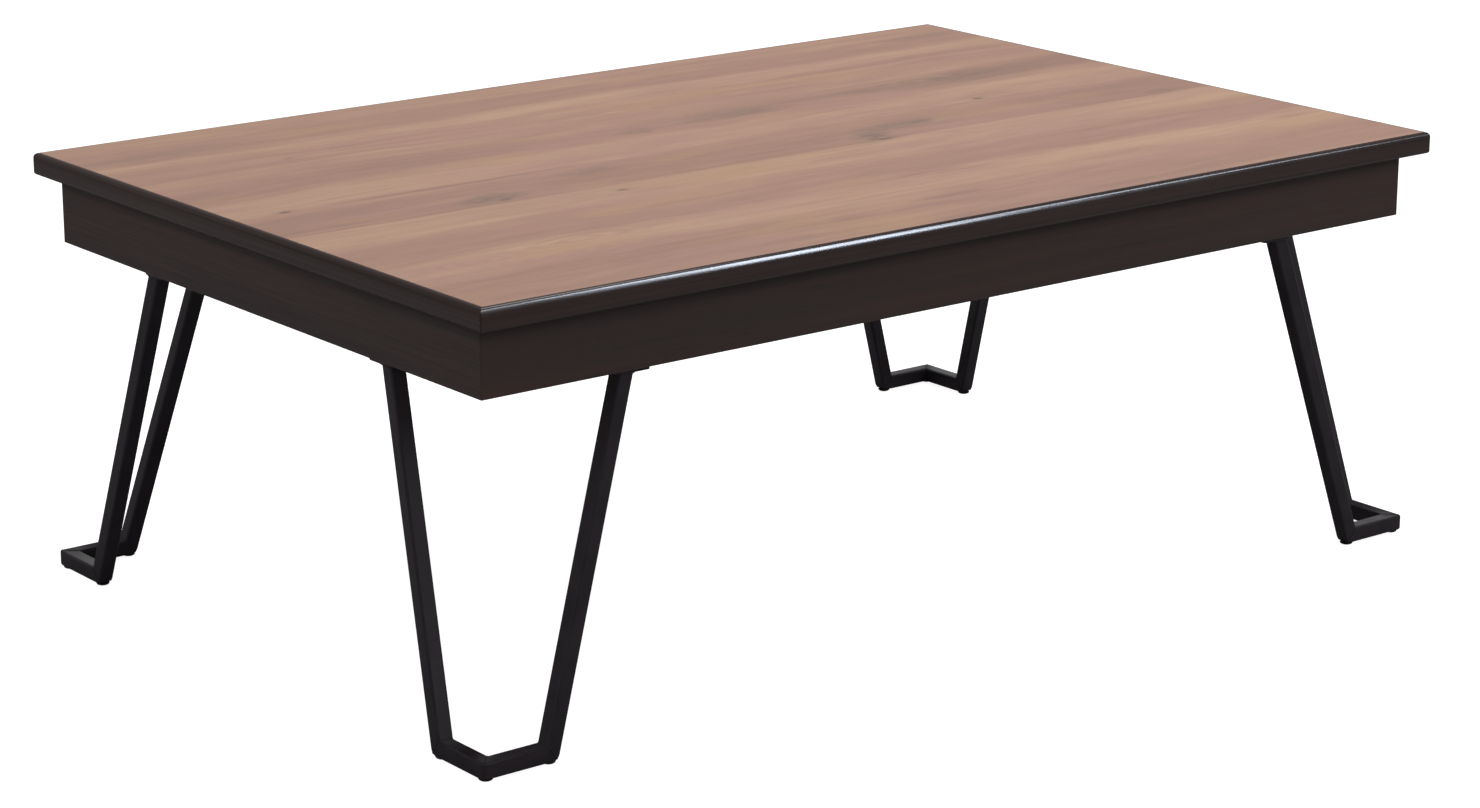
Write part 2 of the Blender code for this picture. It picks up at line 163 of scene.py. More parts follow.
class LegLooks(bpy.types.PropertyGroup):
    """Sizes and colours of the steel legs."""

    coat: colour_property("Coat", "Black powder coat", 43, 37, 44)
    bar_round: length_property("Bar Round", "Rounding of the bar's long edges", 0.0022)
    heel_round: length_property("Heel Round", "Rounding of the bar where it turns up", 0.0075)
    point_round: length_property("Point Round", "Rounding of the foot's point in plan", 0.0045)
    bend_facets: count_property("Bend Facets", "Facets in a rounded bend", 8)
    edge_facets: count_property("Edge Facets", "Facets in the bar's rounded edges", 5)
    plate_thickness: length_property("Plate Thickness", "Thickness of an upright's plate", 0.0030)
    plate_ear: length_property("Plate Ear", "Reach of the plate past the bar", 0.0145)
    plate_setback: length_property("Plate Setback", "From the apron's face to the plate", 0.0045)
    plate_depth: length_property("Plate Depth", "Depth of an upright's plate", 0.040)
    plate_heel: length_property("Plate Heel", "Reach of the plate behind the bar", 0.002)
    plate_corner: length_property("Plate Corner", "Rounding of the plate's corners in plan", 0.0030)
    plate_ease: length_property("Plate Ease", "Rounding of the plate's edges", 0.0004)
    upright_inset: length_property("Upright Inset", "From the apron's face to an upright's head", 0.0145)
    plate_bead: length_property("Plate Bead", "Radius of the weld under a plate", 0.0016)
    seam_bead: length_property("Seam Bead", "Radius of the ground weld at a bend", 0.00045)
    ripple: length_property("Ripple", "Length of one ripple in a weld", 0.0022)
    ripple_depth: share_property("Ripple Depth", "Depth of a ripple, as a share of the radius", 0.16)
    screw: colour_property("Screw", "Black zinc of the plate screws", 52, 52, 54)
    screw_recess: length_property("Screw Recess", "Depth of the cross recess", 0.0013)
    recess_width: length_property("Recess Width", "Width of one slot of the cross recess", 0.0013)
    glide: colour_property("Glide", "Moulded plastic of the glides", 28, 27, 28)
    glide_ease: length_property("Glide Ease", "Height of a glide's rounded lower edge", 0.0021)
    glide_spread: length_property("Glide Spread", "Width of a glide's rounded lower edge", 0.0040)


class StageLooks(bpy.types.PropertyGroup):
    """Floor, lights and camera."""

    floor_tone: share_property("Floor Tone", "Share of the light that the floor gives back", 0.42)
    floor_glow: strength_property("Floor Glow", "White that the camera sees in the floor", 0.93)
    sky: strength_property("Sky", "Strength of the even light from all round", 0.36)
    camera_place: FloatVectorProperty(
        name="Camera Place",
        description="Place of the camera",
        default=(-2.0946, -2.6548, 1.1062),
        subtype="TRANSLATION",
        unit="LENGTH",
        size=3,
    )
    camera_yaw: angle_property("Yaw", "Turn from +Y towards +X", 38.2572)
    camera_pitch: angle_property("Pitch", "Turn up from level", -15.9439)
    camera_roll: angle_property("Roll", "Turn about the line of sight", 0.115)
    focal_pixels: FloatProperty(
        name="Focal Length", description="In pixels of the photograph's width", default=3835.6
    )


SETTINGS = (
    ("table_board", BoardLooks),
    ("table_apron", ApronLooks),
    ("table_legs", LegLooks),
    ("table_stage", StageLooks),
)


# Nodes

class NodeSheet:
    """Adds linked nodes to one node tree."""

    def __init__(self, tree):
        self.tree = tree

    def add(self, kind, inputs=None, **settings):
        node = self.tree.nodes.new(kind)
        for name, value in settings.items():
            setattr(node, name, value)
        for key, value in (inputs or {}).items():
            self.feed(node.inputs[key], value)
        return node

    def output(self, kind, inputs=None, **settings):
        """The first output of a new node."""
        return self.add(kind, inputs, **settings).outputs[0]

    def feed(self, socket, value):
        if isinstance(value, bpy.types.NodeSocket):
            self.tree.links.new(value, socket)
        else:
            socket.default_value = value

    def math(self, operation, *values, clamp=False):
        inputs = dict(enumerate(values))
        return self.output("ShaderNodeMath", inputs, operation=operation, use_clamp=clamp)

    def plus(self, first, second):
        return self.math("ADD", first, second)

    def minus(self, first, second):
        return self.math("SUBTRACT", first, second)

    def times(self, first, second):
        return self.math("MULTIPLY", first, second)

    def over(self, first, second):
        return self.math("DIVIDE", first, second)

    def times_plus(self, first, second, third):
        return self.math("MULTIPLY_ADD", first, second, third)

    def square(self, value):
        return self.math("POWER", value, 2.0)

    def hypotenuse(self, first, second):
        return self.math("SQRT", self.plus(self.square(first), self.square(second)))

    def total(self, values):
        return functools.reduce(self.plus, values)

    def ramp(self, value, low, high, start=0.0, end=1.0, kind="SMOOTHSTEP"):
        """Maps a value from low..high to start..end, held at both ends."""
        inputs = {"Value": value, "From Min": low, "From Max": high, "To Min": start, "To Max": end}
        node = self.add("ShaderNodeMapRange", inputs, interpolation_type=kind, clamp=True)
        return node.outputs["Result"]

    def varied(self, noise, start, end):
        """A value that goes from start to end over the middle of a noise."""
        return self.ramp(noise, *NOISE_MIDDLE, start, end)

    def mix(self, share, first, second):
        """A colour between two colours."""
        node = self.add("ShaderNodeMix", data_type="RGBA")
        for index, value in ((0, share), (6, first), (7, second)):
            self.feed(node.inputs[index], opaque(value))
        return node.outputs[2]

    def combine(self, x, y, z):
        return self.output("ShaderNodeCombineXYZ", {"X": x, "Y": y, "Z": z})

    def separate(self, vector):
        return self.add("ShaderNodeSeparateXYZ", {"Vector": vector}).outputs

    def noise(self, vector, detail=2.0, roughness=0.5, scale=1.0):
        inputs = {"Vector": vector, "Scale": scale, "Detail": detail, "Roughness": roughness}
        return self.add("ShaderNodeTexNoise", inputs).outputs["Fac"]

    def effect(self, make, inputs):
        """A shared effect, built once by its function and placed here with its own values."""
        name = make.__name__.replace("_", " ").title()
        tree = bpy.data.node_groups.get(name) or make(name)
        return self.add("ShaderNodeGroup", inputs, node_tree=tree).outputs


def opaque(value):
    """A colour of three numbers with its alpha added; anything else as it is."""
    if isinstance(value, (bpy.types.NodeSocket, float, int)):
        return value
    return (*value, 1.0)


def toned(colour, share):
    """A colour made darker or paler."""
    return tuple(min(1.0, share * part) for part in colour)


SOCKET_KINDS = {float: "Float", int: "Int"}


def new_tree(name, kind, inputs, outputs, output_kind):
    """A node tree with named sockets. An input's value is its default, or else its socket's kind."""
    tree = bpy.data.node_groups.new(name, kind)
    for label, value in inputs.items():
        socket_kind = SOCKET_KINDS.get(type(value), value)
        socket = tree.interface.new_socket(label, in_out="INPUT", socket_type="NodeSocket" + socket_kind)
        if value != socket_kind:
            socket.default_value = value
    for label in outputs:
        tree.interface.new_socket(label, in_out="OUTPUT", socket_type="NodeSocket" + output_kind)
    given = tree.nodes.new("NodeGroupInput").outputs
    result = tree.nodes.new("NodeGroupOutput").inputs
    return tree, NodeSheet(tree), given, result


# Shared effects

def effect_tree(name, inputs, *outputs):
    return new_tree(name, "ShaderNodeTree", inputs, outputs, "Float")


def long_grain(name):
    """Wood grain along X: broad bands, streaks and fine fibres, all from 0 to 1."""
    inputs = {"Vector": "Vector", "Length": 0.4, "Width": 0.01, "Waver": 0.004, "Seed": 0.0}
    tree, sheet, given, result = effect_tree(name, inputs, "Bands", "Streaks", "Fibres")
    widths_per_wave = 12.0
    x, y, z = sheet.separate(given["Vector"])
    along = sheet.over(x, given["Length"])
    wave_across = sheet.over(y, sheet.times(given["Width"], widths_per_wave))
    wave = sheet.noise(sheet.combine(along, wave_across, given["Seed"]), detail=1.0)
    shift = sheet.times(sheet.minus(wave, 0.5), given["Waver"])
    across = sheet.over(sheet.plus(y, shift), given["Width"])
    depth = sheet.plus(sheet.over(z, given["Width"]), given["Seed"])
    for label, stretch, density, detail in (
        ("Bands", 0.35, 0.16, 2.0),
        ("Streaks", 1.0, 1.0, 4.0),
        ("Fibres", 5.0, 7.0, 3.0),
    ):
        vector = sheet.combine(
            sheet.times(along, stretch), sheet.times(across, density), sheet.times(depth, density)
        )
        sheet.feed(result[label], sheet.noise(vector, detail=detail, roughness=0.6))
    return tree


def board_band(name):
    """One band across a board, from 0 to 1, with its own softness on each side."""
    inputs = {"Across": 0.0, "Low": 0.0, "High": 0.0, "Low Soft": 0.02, "High Soft": 0.02}
    tree, sheet, given, result = effect_tree(name, inputs, "Mask")
    low_end = sheet.plus(given["Low"], given["Low Soft"])
    high_start = sheet.minus(given["High"], given["High Soft"])
    rise = sheet.ramp(given["Across"], given["Low"], low_end)
    fall = sheet.ramp(given["Across"], high_start, given["High"], 1.0, 0.0)
    sheet.feed(result["Mask"], sheet.times(rise, fall))
    return tree


def wood_mark(name):
    """A long oval mark in the grain: its heart, its halo, and how far it pushes the grain aside."""
    inputs = {
        "Along": 0.0,
        "Across": 0.0,
        "Centre Along": 0.0,
        "Centre Across": 0.0,
        "Half Length": 0.01,
        "Half Width": 0.004,
    }
    tree, sheet, given, result = effect_tree(name, inputs, "Heart", "Halo", "Push", "Reach")
    share_along = sheet.over(sheet.minus(given["Along"], given["Centre Along"]), given["Half Length"])
    share_across = sheet.over(sheet.minus(given["Across"], given["Centre Across"]), given["Half Width"])
    reach = sheet.hypotenuse(share_along, share_across)
    near = sheet.ramp(reach, 0.0, 4.0, 1.0, 0.0)
    side = sheet.ramp(share_across, -1.5, 1.5, -1.0, 1.0)
    sheet.feed(result["Reach"], reach)
    sheet.feed(result["Heart"], sheet.ramp(reach, 0.35, 1.0, 1.0, 0.0))
    sheet.feed(result["Halo"], sheet.ramp(reach, 0.6, 2.6, 1.0, 0.0))
    sheet.feed(result["Push"], sheet.times(sheet.times(near, side), given["Half Width"]))
    return tree


def fine_skin(name):
    """The small unevenness of a coat or a moulded skin, as a height and a broad mottling."""
    inputs = {"Vector": "Vector", "Size": 0.001, "Patch": 0.03}
    tree, sheet, given, result = effect_tree(name, inputs, "Height", "Mottle")
    for label, size, detail in (("Height", "Size", 2.0), ("Mottle", "Patch", 3.0)):
        scale = sheet.over(1.0, given[size])
        sheet.feed(result[label], sheet.noise(given["Vector"], detail=detail, scale=scale))
    return tree


def edge_wear(name):
    """Where a piece's outer edges are rubbed, broken up into patches."""
    inputs = {"Vector": "Vector", "Radius": 0.001, "Patch": 0.02}
    tree, sheet, given, result = effect_tree(name, inputs, "Mask")
    rounded = sheet.output("ShaderNodeBevel", {"Radius": given["Radius"]}, samples=4)
    true_normal = sheet.add("ShaderNodeNewGeometry").outputs["Normal"]
    turn = sheet.add("ShaderNodeVectorMath", {0: rounded, 1: true_normal}, operation="DOT_PRODUCT")
    edge = sheet.ramp(turn.outputs["Value"], 0.99, 0.90)
    scale = sheet.over(1.0, given["Patch"])
    spread = sheet.noise(given["Vector"], detail=4.0, roughness=0.65, scale=scale)
    sheet.feed(result["Mask"], sheet.times(edge, sheet.ramp(spread, 0.42, 0.66)))
    return tree


# Materials

class Surface(NodeSheet):
    """A new material's nodes, with its shader's inputs and the piece's own coordinates."""

    def __init__(self, name, roughness, specular, metallic=0.0):
        self.material = bpy.data.materials.new(name)
        self.material.use_nodes = True
        super().__init__(self.material.node_tree)
        self.shader = self.tree.nodes["Principled BSDF"].inputs
        self.shader["Roughness"].default_value = roughness
        self.shader["Specular IOR Level"].default_value = specular
        self.shader["Metallic"].default_value = metallic
        self.place = self.add("ShaderNodeTexCoord").outputs["Object"]

    def along(self, turns):
        """Coordinates turned about Z so that a piece's length lies along X."""
        inputs = {"Vector": self.place, "Rotation": (0.0, 0.0, -QUARTER_TURN * turns)}
        return self.output("ShaderNodeMapping", inputs)

    def grain(self, place, length, width, waver, seed=0.0):
        values = {"Vector": place, "Length": length, "Width": width, "Waver": waver, "Seed": seed}
        return self.effect(long_grain, values)

    def skin(self, size, patch):
        return self.effect(fine_skin, {"Vector": self.place, "Size": size, "Patch": patch})

    def wear(self, radius, patch):
        return self.effect(edge_wear, {"Vector": self.place, "Radius": radius, "Patch": patch})["Mask"]

    def level(self):
        """The height of each place on the surface."""
        return self.separate(self.place)["Z"]

    def facing_up(self):
        """How far the surface faces up, from -1 to 1."""
        return self.separate(self.add("ShaderNodeNewGeometry").outputs["Normal"])["Z"]

    def finish(self, colour, height, distance, strength, roughness=None):
        """Feeds the shader: its colour, the height that shows as relief and, if it varies, its blur."""
        bump = {"Height": height, "Distance": distance, "Strength": strength}
        self.feed(self.shader["Normal"], self.output("ShaderNodeBump", bump))
        self.feed(self.shader["Base Color"], colour)
        if roughness is not None:
            self.feed(self.shader["Roughness"], roughness)
        return self.material


# Clouds of noise over the board: how often along and across, place in the noise, detail, roughness
WOOD_CLOUDS = {
    "drift": (2.6, 5.0, 3.7, 2.0, 0.5),
    "ripple": (9.0, 30.0, 8.1, 3.0, 0.5),
    "fray along": (55.0, 90.0, 1.3, 3.0, 0.5),
    "fray across": (40.0, 120.0, 5.9, 3.0, 0.5),
    "uneven": (3.4, 14.0, 6.2, 3.0, 0.5),
    "speckle": (16.0, 42.0, 2.2, 4.0, 0.6),
    "rose": (5.0, 22.0, 11.4, 4.0, 0.6),
    "gold": (4.2, 18.0, 17.8, 4.0, 0.6),
    "broken": (60.0, 150.0, 4.4, 3.0, 0.6),
}
# Bands of the printed grain, one of them a painted sheen: from and to across the board, softness on
# both sides, change of tone, and how much the band wanders
WOOD_BANDS = (
    (0.238, 0.318, 0.030, 0.030, -0.24, 1.0),
    (0.222, 0.266, 0.018, 0.018, 0.26, 1.0),
    (0.150, 0.222, 0.025, 0.030, -0.06, 1.0),
    # A broad paler band towards the back: a painted sheen, not printed grain
    (0.100, 0.352, 0.100, 0.010, 0.09, 1.0),
    (0.074, 0.148, 0.022, 0.030, -0.38, 0.7),
    (0.006, 0.080, 0.018, 0.022, 0.24, 0.7),
    (-0.0705, 0.006, 0.0025, 0.020, -0.32, 0.0),
    (-0.138, -0.0700, 0.030, 0.0025, 0.24, 0.0),
    (-0.200, -0.128, 0.024, 0.030, -0.12, 1.0),
    (-0.262, -0.186, 0.022, 0.024, 0.26, 1.0),
    (-0.352, -0.256, 0.010, 0.030, -0.20, 1.0),
)
# Long soft streaks: centre along and across, half length, half width, change of tone
WOOD_STREAKS = (
    (0.265, -0.214, 0.110, 0.0080, 0.22),
    (-0.330, 0.042, 0.070, 0.0090, 0.16),
    (-0.450, -0.112, 0.060, 0.0110, 0.14),
    (0.360, 0.214, 0.110, 0.0060, -0.20),
    (-0.440, 0.180, 0.060, 0.0055, -0.16),
    (-0.290, 0.013, 0.060, 0.0016, -0.55),
    (0.020, -0.198, 0.036, 0.0018, -0.42),
    (0.085, -0.205, 0.030, 0.0016, -0.42),
    (0.006, -0.276, 0.022, 0.0028, -0.50),
    (-0.230, -0.270, 0.070, 0.0022, -0.22),
    (-0.120, -0.292, 0.080, 0.0020, -0.18),
    (0.475, -0.218, 0.016, 0.0022, -0.34),
    (0.330, -0.148, 0.050, 0.0020, -0.20),
)
# Grey smudges: centre along and across, half length, half width, strength
WOOD_STAINS = (
    (-0.305, -0.050, 0.019, 0.0075, 0.62),
    (-0.180, -0.014, 0.017, 0.0080, 0.26),
    (0.110, -0.052, 0.010, 0.0090, 0.70),
    (0.150, -0.030, 0.024, 0.0070, 0.48),
    (0.186, -0.028, 0.010, 0.0060, 0.42),
    (0.072, 0.104, 0.032, 0.0090, 0.46),
    (-0.048, 0.096, 0.012, 0.0060, 0.36),
    (0.320, 0.112, 0.060, 0.0100, 0.30),
    (0.390, 0.108, 0.044, 0.0130, 0.28),
    (0.470, -0.058, 0.014, 0.0040, 0.40),
    (0.470, 0.296, 0.030, 0.0060, 0.34),
    (-0.430, 0.268, 0.050, 0.0100, 0.22),
)
# Small knots: centre along and across, half length, half width, strength
WOOD_KNOTS = (
    (-0.472, 0.013, 0.0075, 0.0042, 0.60),
    (-0.200, -0.090, 0.0075, 0.0038, 0.55),
    (0.300, 0.019, 0.0078, 0.0046, 0.62),
    (0.112, -0.068, 0.0110, 0.0036, 0.55),
    (-0.300, -0.060, 0.0090, 0.0034, 0.42),
    (-0.358, 0.190, 0.0080, 0.0036, 0.26),
)
# Arched growth rings: centre along and across, half length and half width of one ring, change of tone
WOOD_ARCHES = (
    (-0.335, -0.212, 0.024, 0.0062, 0.13),
    (-0.372, -0.247, 0.020, 0.0050, 0.13),
    (-0.447, -0.226, 0.016, 0.0056, 0.13),
    (0.040, 0.178, 0.040, 0.0048, 0.13),
)


class WoodFace(Surface):
    """The printed wood's nodes: how its grain runs, its tone, and the marks in it."""

    def __init__(self, looks):
        super().__init__("wood_grain_face", looks.wood_roughness, specular=0.28)
        self.looks = looks
        self.x, self.y, self.z = self.separate(self.place)
        self.ripple = self.times(self.cloud("ripple"), 0.014)
        self.wander = self.plus(self.times(self.cloud("drift"), 0.050), self.ripple)
        self.knots = [self.mark(self.x, self.y, spot) for spot in WOOD_KNOTS]
        push = self.total(knot["Push"] for knot in self.knots)
        flow = self.minus(self.plus(self.y, self.wander), push)
        grain_place = self.combine(self.x, flow, self.z)
        self.broad = self.grain(grain_place, length=0.30, width=0.012, waver=0.016)
        self.fine = self.grain(grain_place, length=0.11, width=0.0040, waver=0.006, seed=9.0)

    def cloud(self, name):
        """Noise about zero, drawn out along the board."""
        along, across, seed, detail, roughness = WOOD_CLOUDS[name]
        spot = self.combine(self.times(self.x, along), self.times(self.y, across), seed)
        return self.minus(self.noise(spot, detail, roughness), 0.5)

    def mark(self, along, across, spot):
        names = ("Centre Along", "Centre Across", "Half Length", "Half Width")
        return self.effect(wood_mark, {"Along": along, "Across": across, **dict(zip(names, spot))})

    def bands(self):
        """The change of tone that the bands make, stronger in some places than in others."""
        bands = []
        for low, high, low_soft, high_soft, tone, bend in WOOD_BANDS:
            values = {
                "Across": self.times_plus(self.wander, bend, self.y),
                "Low": low,
                "High": high,
                "Low Soft": low_soft,
                "High Soft": high_soft,
            }
            bands.append(self.times(self.effect(board_band, values)["Mask"], tone))
        uneven = self.times_plus(self.cloud("uneven"), 1.5, 1.0)
        return self.times(self.total(bands), uneven)

    def streaks(self):
        across = self.times_plus(self.ripple, 0.7, self.y)
        for spot in WOOD_STREAKS:
            yield self.times(self.mark(self.x, across, spot)["Halo"], spot[-1])

    def arches(self):
        rings_per_width = 0.9
        across = self.times_plus(self.ripple, 0.8, self.y)
        for spot in WOOD_ARCHES:
            reach = self.mark(self.x, across, spot)["Reach"]
            line = self.math("SINE", self.times(reach, math.tau * rings_per_width))
            near = self.ramp(reach, 1.0, 4.2, 1.0, 0.0)
            yield self.times(self.times(line, near), spot[-1])

    def tone(self):
        """From 0, the darkest grain, to 1, the palest."""
        parts = [0.5, self.bands(), *self.streaks(), *self.arches()]
        for value, weight in (
            (self.broad["Bands"], 0.40),
            (self.broad["Streaks"], 0.90),
            (self.fine["Streaks"], 0.85),
            (self.fine["Fibres"], 0.30),
        ):
            parts.append(self.times(self.minus(value, 0.5), weight))
        parts.append(self.times(self.cloud("speckle"), 0.45))
        return self.total(parts)

    def plain_colour(self):
        """The grain's colour without its smudges and knots."""
        looks = self.looks
        tone = self.tone()
        colour = self.mix(self.ramp(tone, 0.0, 0.5, kind="LINEAR"), looks.dark_wood, looks.mid_wood)
        colour = self.mix(self.ramp(tone, 0.5, 1.0, kind="LINEAR"), colour, looks.light_wood)
        rose = self.ramp(self.cloud("rose"), -0.02, 0.20)
        colour = self.mix(self.times(rose, 0.50), colour, looks.rose_wood)
        gold = self.ramp(self.cloud("gold"), 0.02, 0.22)
        return self.mix(self.times(gold, 0.45), colour, looks.gold_wood)

    def marked(self, colour):
        """A colour with the smudges and knots laid over it."""
        frayed_x = self.times_plus(self.cloud("fray along"), 0.024, self.x)
        frayed_y = self.times_plus(self.cloud("fray across"), 0.013, self.y)
        broken = self.ramp(self.cloud("broken"), -0.26, 0.10)
        for spot in WOOD_STAINS:
            halo = self.mark(frayed_x, frayed_y, spot)["Halo"]
            patch = self.times(self.times(halo, broken), spot[-1])
            colour = self.mix(patch, colour, self.looks.stain)
        for knot, spot in zip(self.knots, WOOD_KNOTS):
            strength = spot[-1]
            colour = self.mix(self.times(knot["Halo"], 0.30 * strength), colour, self.looks.stain)
            colour = self.mix(self.times(knot["Heart"], strength), colour, self.looks.knot)
        return colour


def wood_face_material(looks):
    """Satin printed wood: wandering bands along X, broken streaks, fine fibres, smudges and knots."""
    sheet = WoodFace(looks)
    streaks = sheet.fine["Streaks"]
    pores = sheet.ramp(sheet.fine["Fibres"], 0.60, 0.74)
    colour = sheet.marked(sheet.plain_colour())
    colour = sheet.mix(sheet.times(pores, 0.30), colour, looks.dark_wood)
    blur = sheet.varied(streaks, looks.wood_roughness - 0.06, looks.wood_roughness + 0.06)
    height = sheet.minus(sheet.times(streaks, 0.5), pores)
    return sheet.finish(colour, height, distance=0.00005, strength=0.5, roughness=blur)


def moulding_material(looks, name, turns):
    """Dark semi-gloss moulding with a trace of grain along its length and rubbed corners."""
    sheet = Surface(name, roughness=0.17, specular=0.20)
    grain = sheet.grain(sheet.along(turns), length=0.30, width=0.0030, waver=0.004, seed=4.0)
    trace = sheet.ramp(grain["Streaks"], 0.35, 0.65)
    colour = sheet.mix(trace, toned(looks.moulding, 0.72), looks.moulding)
    worn = sheet.wear(radius=0.0008, patch=0.012)
    colour = sheet.mix(sheet.times(worn, 0.5), colour, toned(looks.moulding, 2.2))
    skin = sheet.skin(size=0.0016, patch=0.05)
    unpolished = sheet.ramp(sheet.facing_up(), -0.12, -0.50, 0.0, 0.55)
    blur = sheet.plus(sheet.varied(skin["Mottle"], 0.15, 0.19), unpolished)
    return sheet.finish(colour, skin["Height"], distance=0.00001, strength=0.15, roughness=blur)


def apron_material(looks, name, turns, high):
    """Dark wrap with reddish wood grain along each rail, with painted shade close under the top."""
    sheet = Surface(name, roughness=0.48, specular=0.16)
    turned = sheet.along(turns)
    grain = sheet.grain(turned, length=0.34, width=0.010, waver=0.012, seed=2.0 + turns)
    fine = sheet.grain(turned, length=0.11, width=0.0022, waver=0.003, seed=7.0 + turns)
    red = sheet.plus(sheet.times(grain["Bands"], 0.6), sheet.times(grain["Streaks"], 0.4))
    colour = sheet.mix(sheet.ramp(red, 0.38, 0.66), looks.wrap, looks.wrap_red)
    pores = sheet.ramp(fine["Streaks"], 0.56, 0.72)
    colour = sheet.mix(sheet.times(pores, 0.22), colour, looks.wrap_dark)
    # Lighter rubbed arrises: partly wear, partly a painted highlight along the edges
    worn = sheet.wear(radius=0.0012, patch=0.05)
    colour = sheet.mix(sheet.times(worn, 0.6), colour, toned(looks.wrap_red, 1.9))
    # Painted shade: the wrap is darkened in a band close under the overhang of the top
    full_depth = 0.3 * looks.painted_shade_depth
    painted_shade = sheet.ramp(
        sheet.level(), high - looks.painted_shade_depth, high - full_depth, 0.0, looks.painted_shade_share
    )
    colour = sheet.mix(painted_shade, colour, toned(looks.wrap_dark, 0.4))
    blur = sheet.varied(fine["Streaks"], 0.44, 0.58)
    return sheet.finish(colour, fine["Streaks"], distance=0.00004, strength=0.25, roughness=blur)


def powder_coat_material(looks):
    """Semi-matt black coat with a fine orange peel, rubbed at the bar's edges."""
    sheet = Surface("leg_steel", roughness=0.50, specular=0.16)
    skin = sheet.skin(size=0.0011, patch=0.03)
    colour = sheet.mix(sheet.ramp(skin["Mottle"], 0.35, 0.65), toned(looks.coat, 0.75), looks.coat)
    worn = sheet.wear(radius=0.0012, patch=0.018)
    colour = sheet.mix(sheet.times(worn, 0.35), colour, toned(looks.coat, 2.6))
    blur = sheet.varied(skin["Mottle"], 0.38, 0.48)
    return sheet.finish(colour, skin["Height"], distance=0.00006, strength=0.35, roughness=blur)


def bare_wood_material(looks):
    """Planed softwood with its grain along the cross rails."""
    sheet = Surface("bare_wood", roughness=0.68, specular=0.30)
    grain = sheet.grain(sheet.along(1), length=0.45, width=0.0035, waver=0.010, seed=11.0)
    colour = sheet.mix(sheet.ramp(grain["Streaks"], 0.45, 0.62), looks.bare_light, looks.bare_dark)
    patch = sheet.times(sheet.ramp(grain["Bands"], 0.40, 0.65), 0.35)
    colour = sheet.mix(patch, colour, looks.bare_dark)
    blur = sheet.varied(grain["Fibres"], 0.62, 0.76)
    return sheet.finish(colour, grain["Fibres"], distance=0.00015, strength=0.4, roughness=blur)


def gusset_material(looks, low):
    """Plywood: a veneer face, and layers of alternate tone on the edges."""
    sheet = Surface("gusset_plywood", roughness=0.70, specular=0.30)
    layer = sheet.over(sheet.minus(sheet.level(), low), 2 * looks.ply_thickness)
    end_grain = sheet.ramp(sheet.math("PINGPONG", layer, 0.5), 0.21, 0.29)
    layers = sheet.mix(end_grain, looks.bare_light, toned(looks.bare_dark, 0.55))
    grain = sheet.grain(sheet.place, length=0.20, width=0.0045, waver=0.020, seed=15.0)
    veneer = sheet.mix(sheet.ramp(grain["Streaks"], 0.40, 0.66), looks.bare_light, looks.bare_dark)
    flat = sheet.ramp(sheet.math("ABSOLUTE", sheet.facing_up()), 0.6, 0.9)
    colour = sheet.mix(flat, layers, veneer)
    return sheet.finish(colour, grain["Fibres"], distance=0.00015, strength=0.4)


def felt_material(looks):
    """Felt tape: matted fibres that lie every way."""
    sheet = Surface("rest_felt", roughness=0.95, specular=0.12)
    skin = sheet.skin(size=0.0007, patch=0.006)
    colour = sheet.mix(sheet.ramp(skin["Height"], 0.40, 0.68), looks.felt, toned(looks.felt, 2.2))
    return sheet.finish(colour, skin["Height"], distance=0.0004, strength=0.8)


def chipboard_material(looks):
    """Pressed wood chips of mixed tone."""
    sheet = Surface("core_board", roughness=0.85, specular=0.25)
    chips = sheet.add("ShaderNodeTexVoronoi", {"Vector": sheet.place, "Scale": 260.0}).outputs
    colour = sheet.mix(sheet.separate(chips["Color"])["X"], looks.chip_dark, looks.chip_light)
    return sheet.finish(colour, chips["Distance"], distance=0.0004, strength=0.6)


def backer_material(looks):
    """Matt dark sheet under the top, with a paper-like mottling."""
    sheet = Surface("backer_sheet", roughness=0.62, specular=0.25)
    skin = sheet.skin(size=0.0014, patch=0.02)
    mottle = sheet.ramp(skin["Mottle"], 0.30, 0.70)
    colour = sheet.mix(mottle, looks.moulding, toned(looks.moulding, 1.5))
    blur = sheet.varied(skin["Mottle"], 0.55, 0.68)
    return sheet.finish(colour, skin["Height"], distance=0.00008, strength=0.4, roughness=blur)


def screw_material(looks):
    """Black zinc, rubbed bright at its edges."""
    sheet = Surface("screw_steel", roughness=0.34, specular=0.5, metallic=0.85)
    skin = sheet.skin(size=0.0006, patch=0.004)
    worn = sheet.wear(radius=0.0004, patch=0.002)
    colour = sheet.mix(worn, looks.screw, toned(looks.screw, 2.4))
    blur = sheet.varied(skin["Mottle"], 0.26, 0.44)
    return sheet.finish(colour, skin["Height"], distance=0.00002, strength=0.3, roughness=blur)


def glide_material(looks):
    """Moulded plastic, scuffed by the floor."""
    sheet = Surface("glide_plastic", roughness=0.55, specular=0.35)
    skin = sheet.skin(size=0.0008, patch=0.005)
    low = sheet.ramp(sheet.level(), 0.0, 0.0012, 1.0, 0.0)
    scuff = sheet.times(low, sheet.ramp(skin["Mottle"], 0.40, 0.62))
    colour = sheet.mix(scuff, looks.glide, toned(looks.glide, 2.6))
    blur = sheet.varied(skin["Mottle"], 0.48, 0.64)
    return sheet.finish(colour, skin["Height"], distance=0.00004, strength=0.3, roughness=blur)


def floor_material(looks):
    """Pale studio sweep that the camera sees as white."""
    sheet = Surface("studio_floor", roughness=0.9, specular=0.0)
    seen = sheet.add("ShaderNodeLightPath").outputs["Is Camera Ray"]
    sheet.feed(sheet.shader["Base Color"], opaque((looks.floor_tone,) * 3))
    sheet.feed(sheet.shader["Emission Color"], opaque(WHITE))
    sheet.feed(sheet.shader["Emission Strength"], sheet.times(seen, looks.floor_glow))
    return sheet.material


# Shapes

def arc(centre, radius, start, end, facets):
    """Points on an arc in a plane, from one angle to another."""
    for step in range(facets + 1):
        angle = start + (end - start) * step / facets
        yield (centre[0] + radius * math.cos(angle), centre[1] + radius * math.sin(angle))


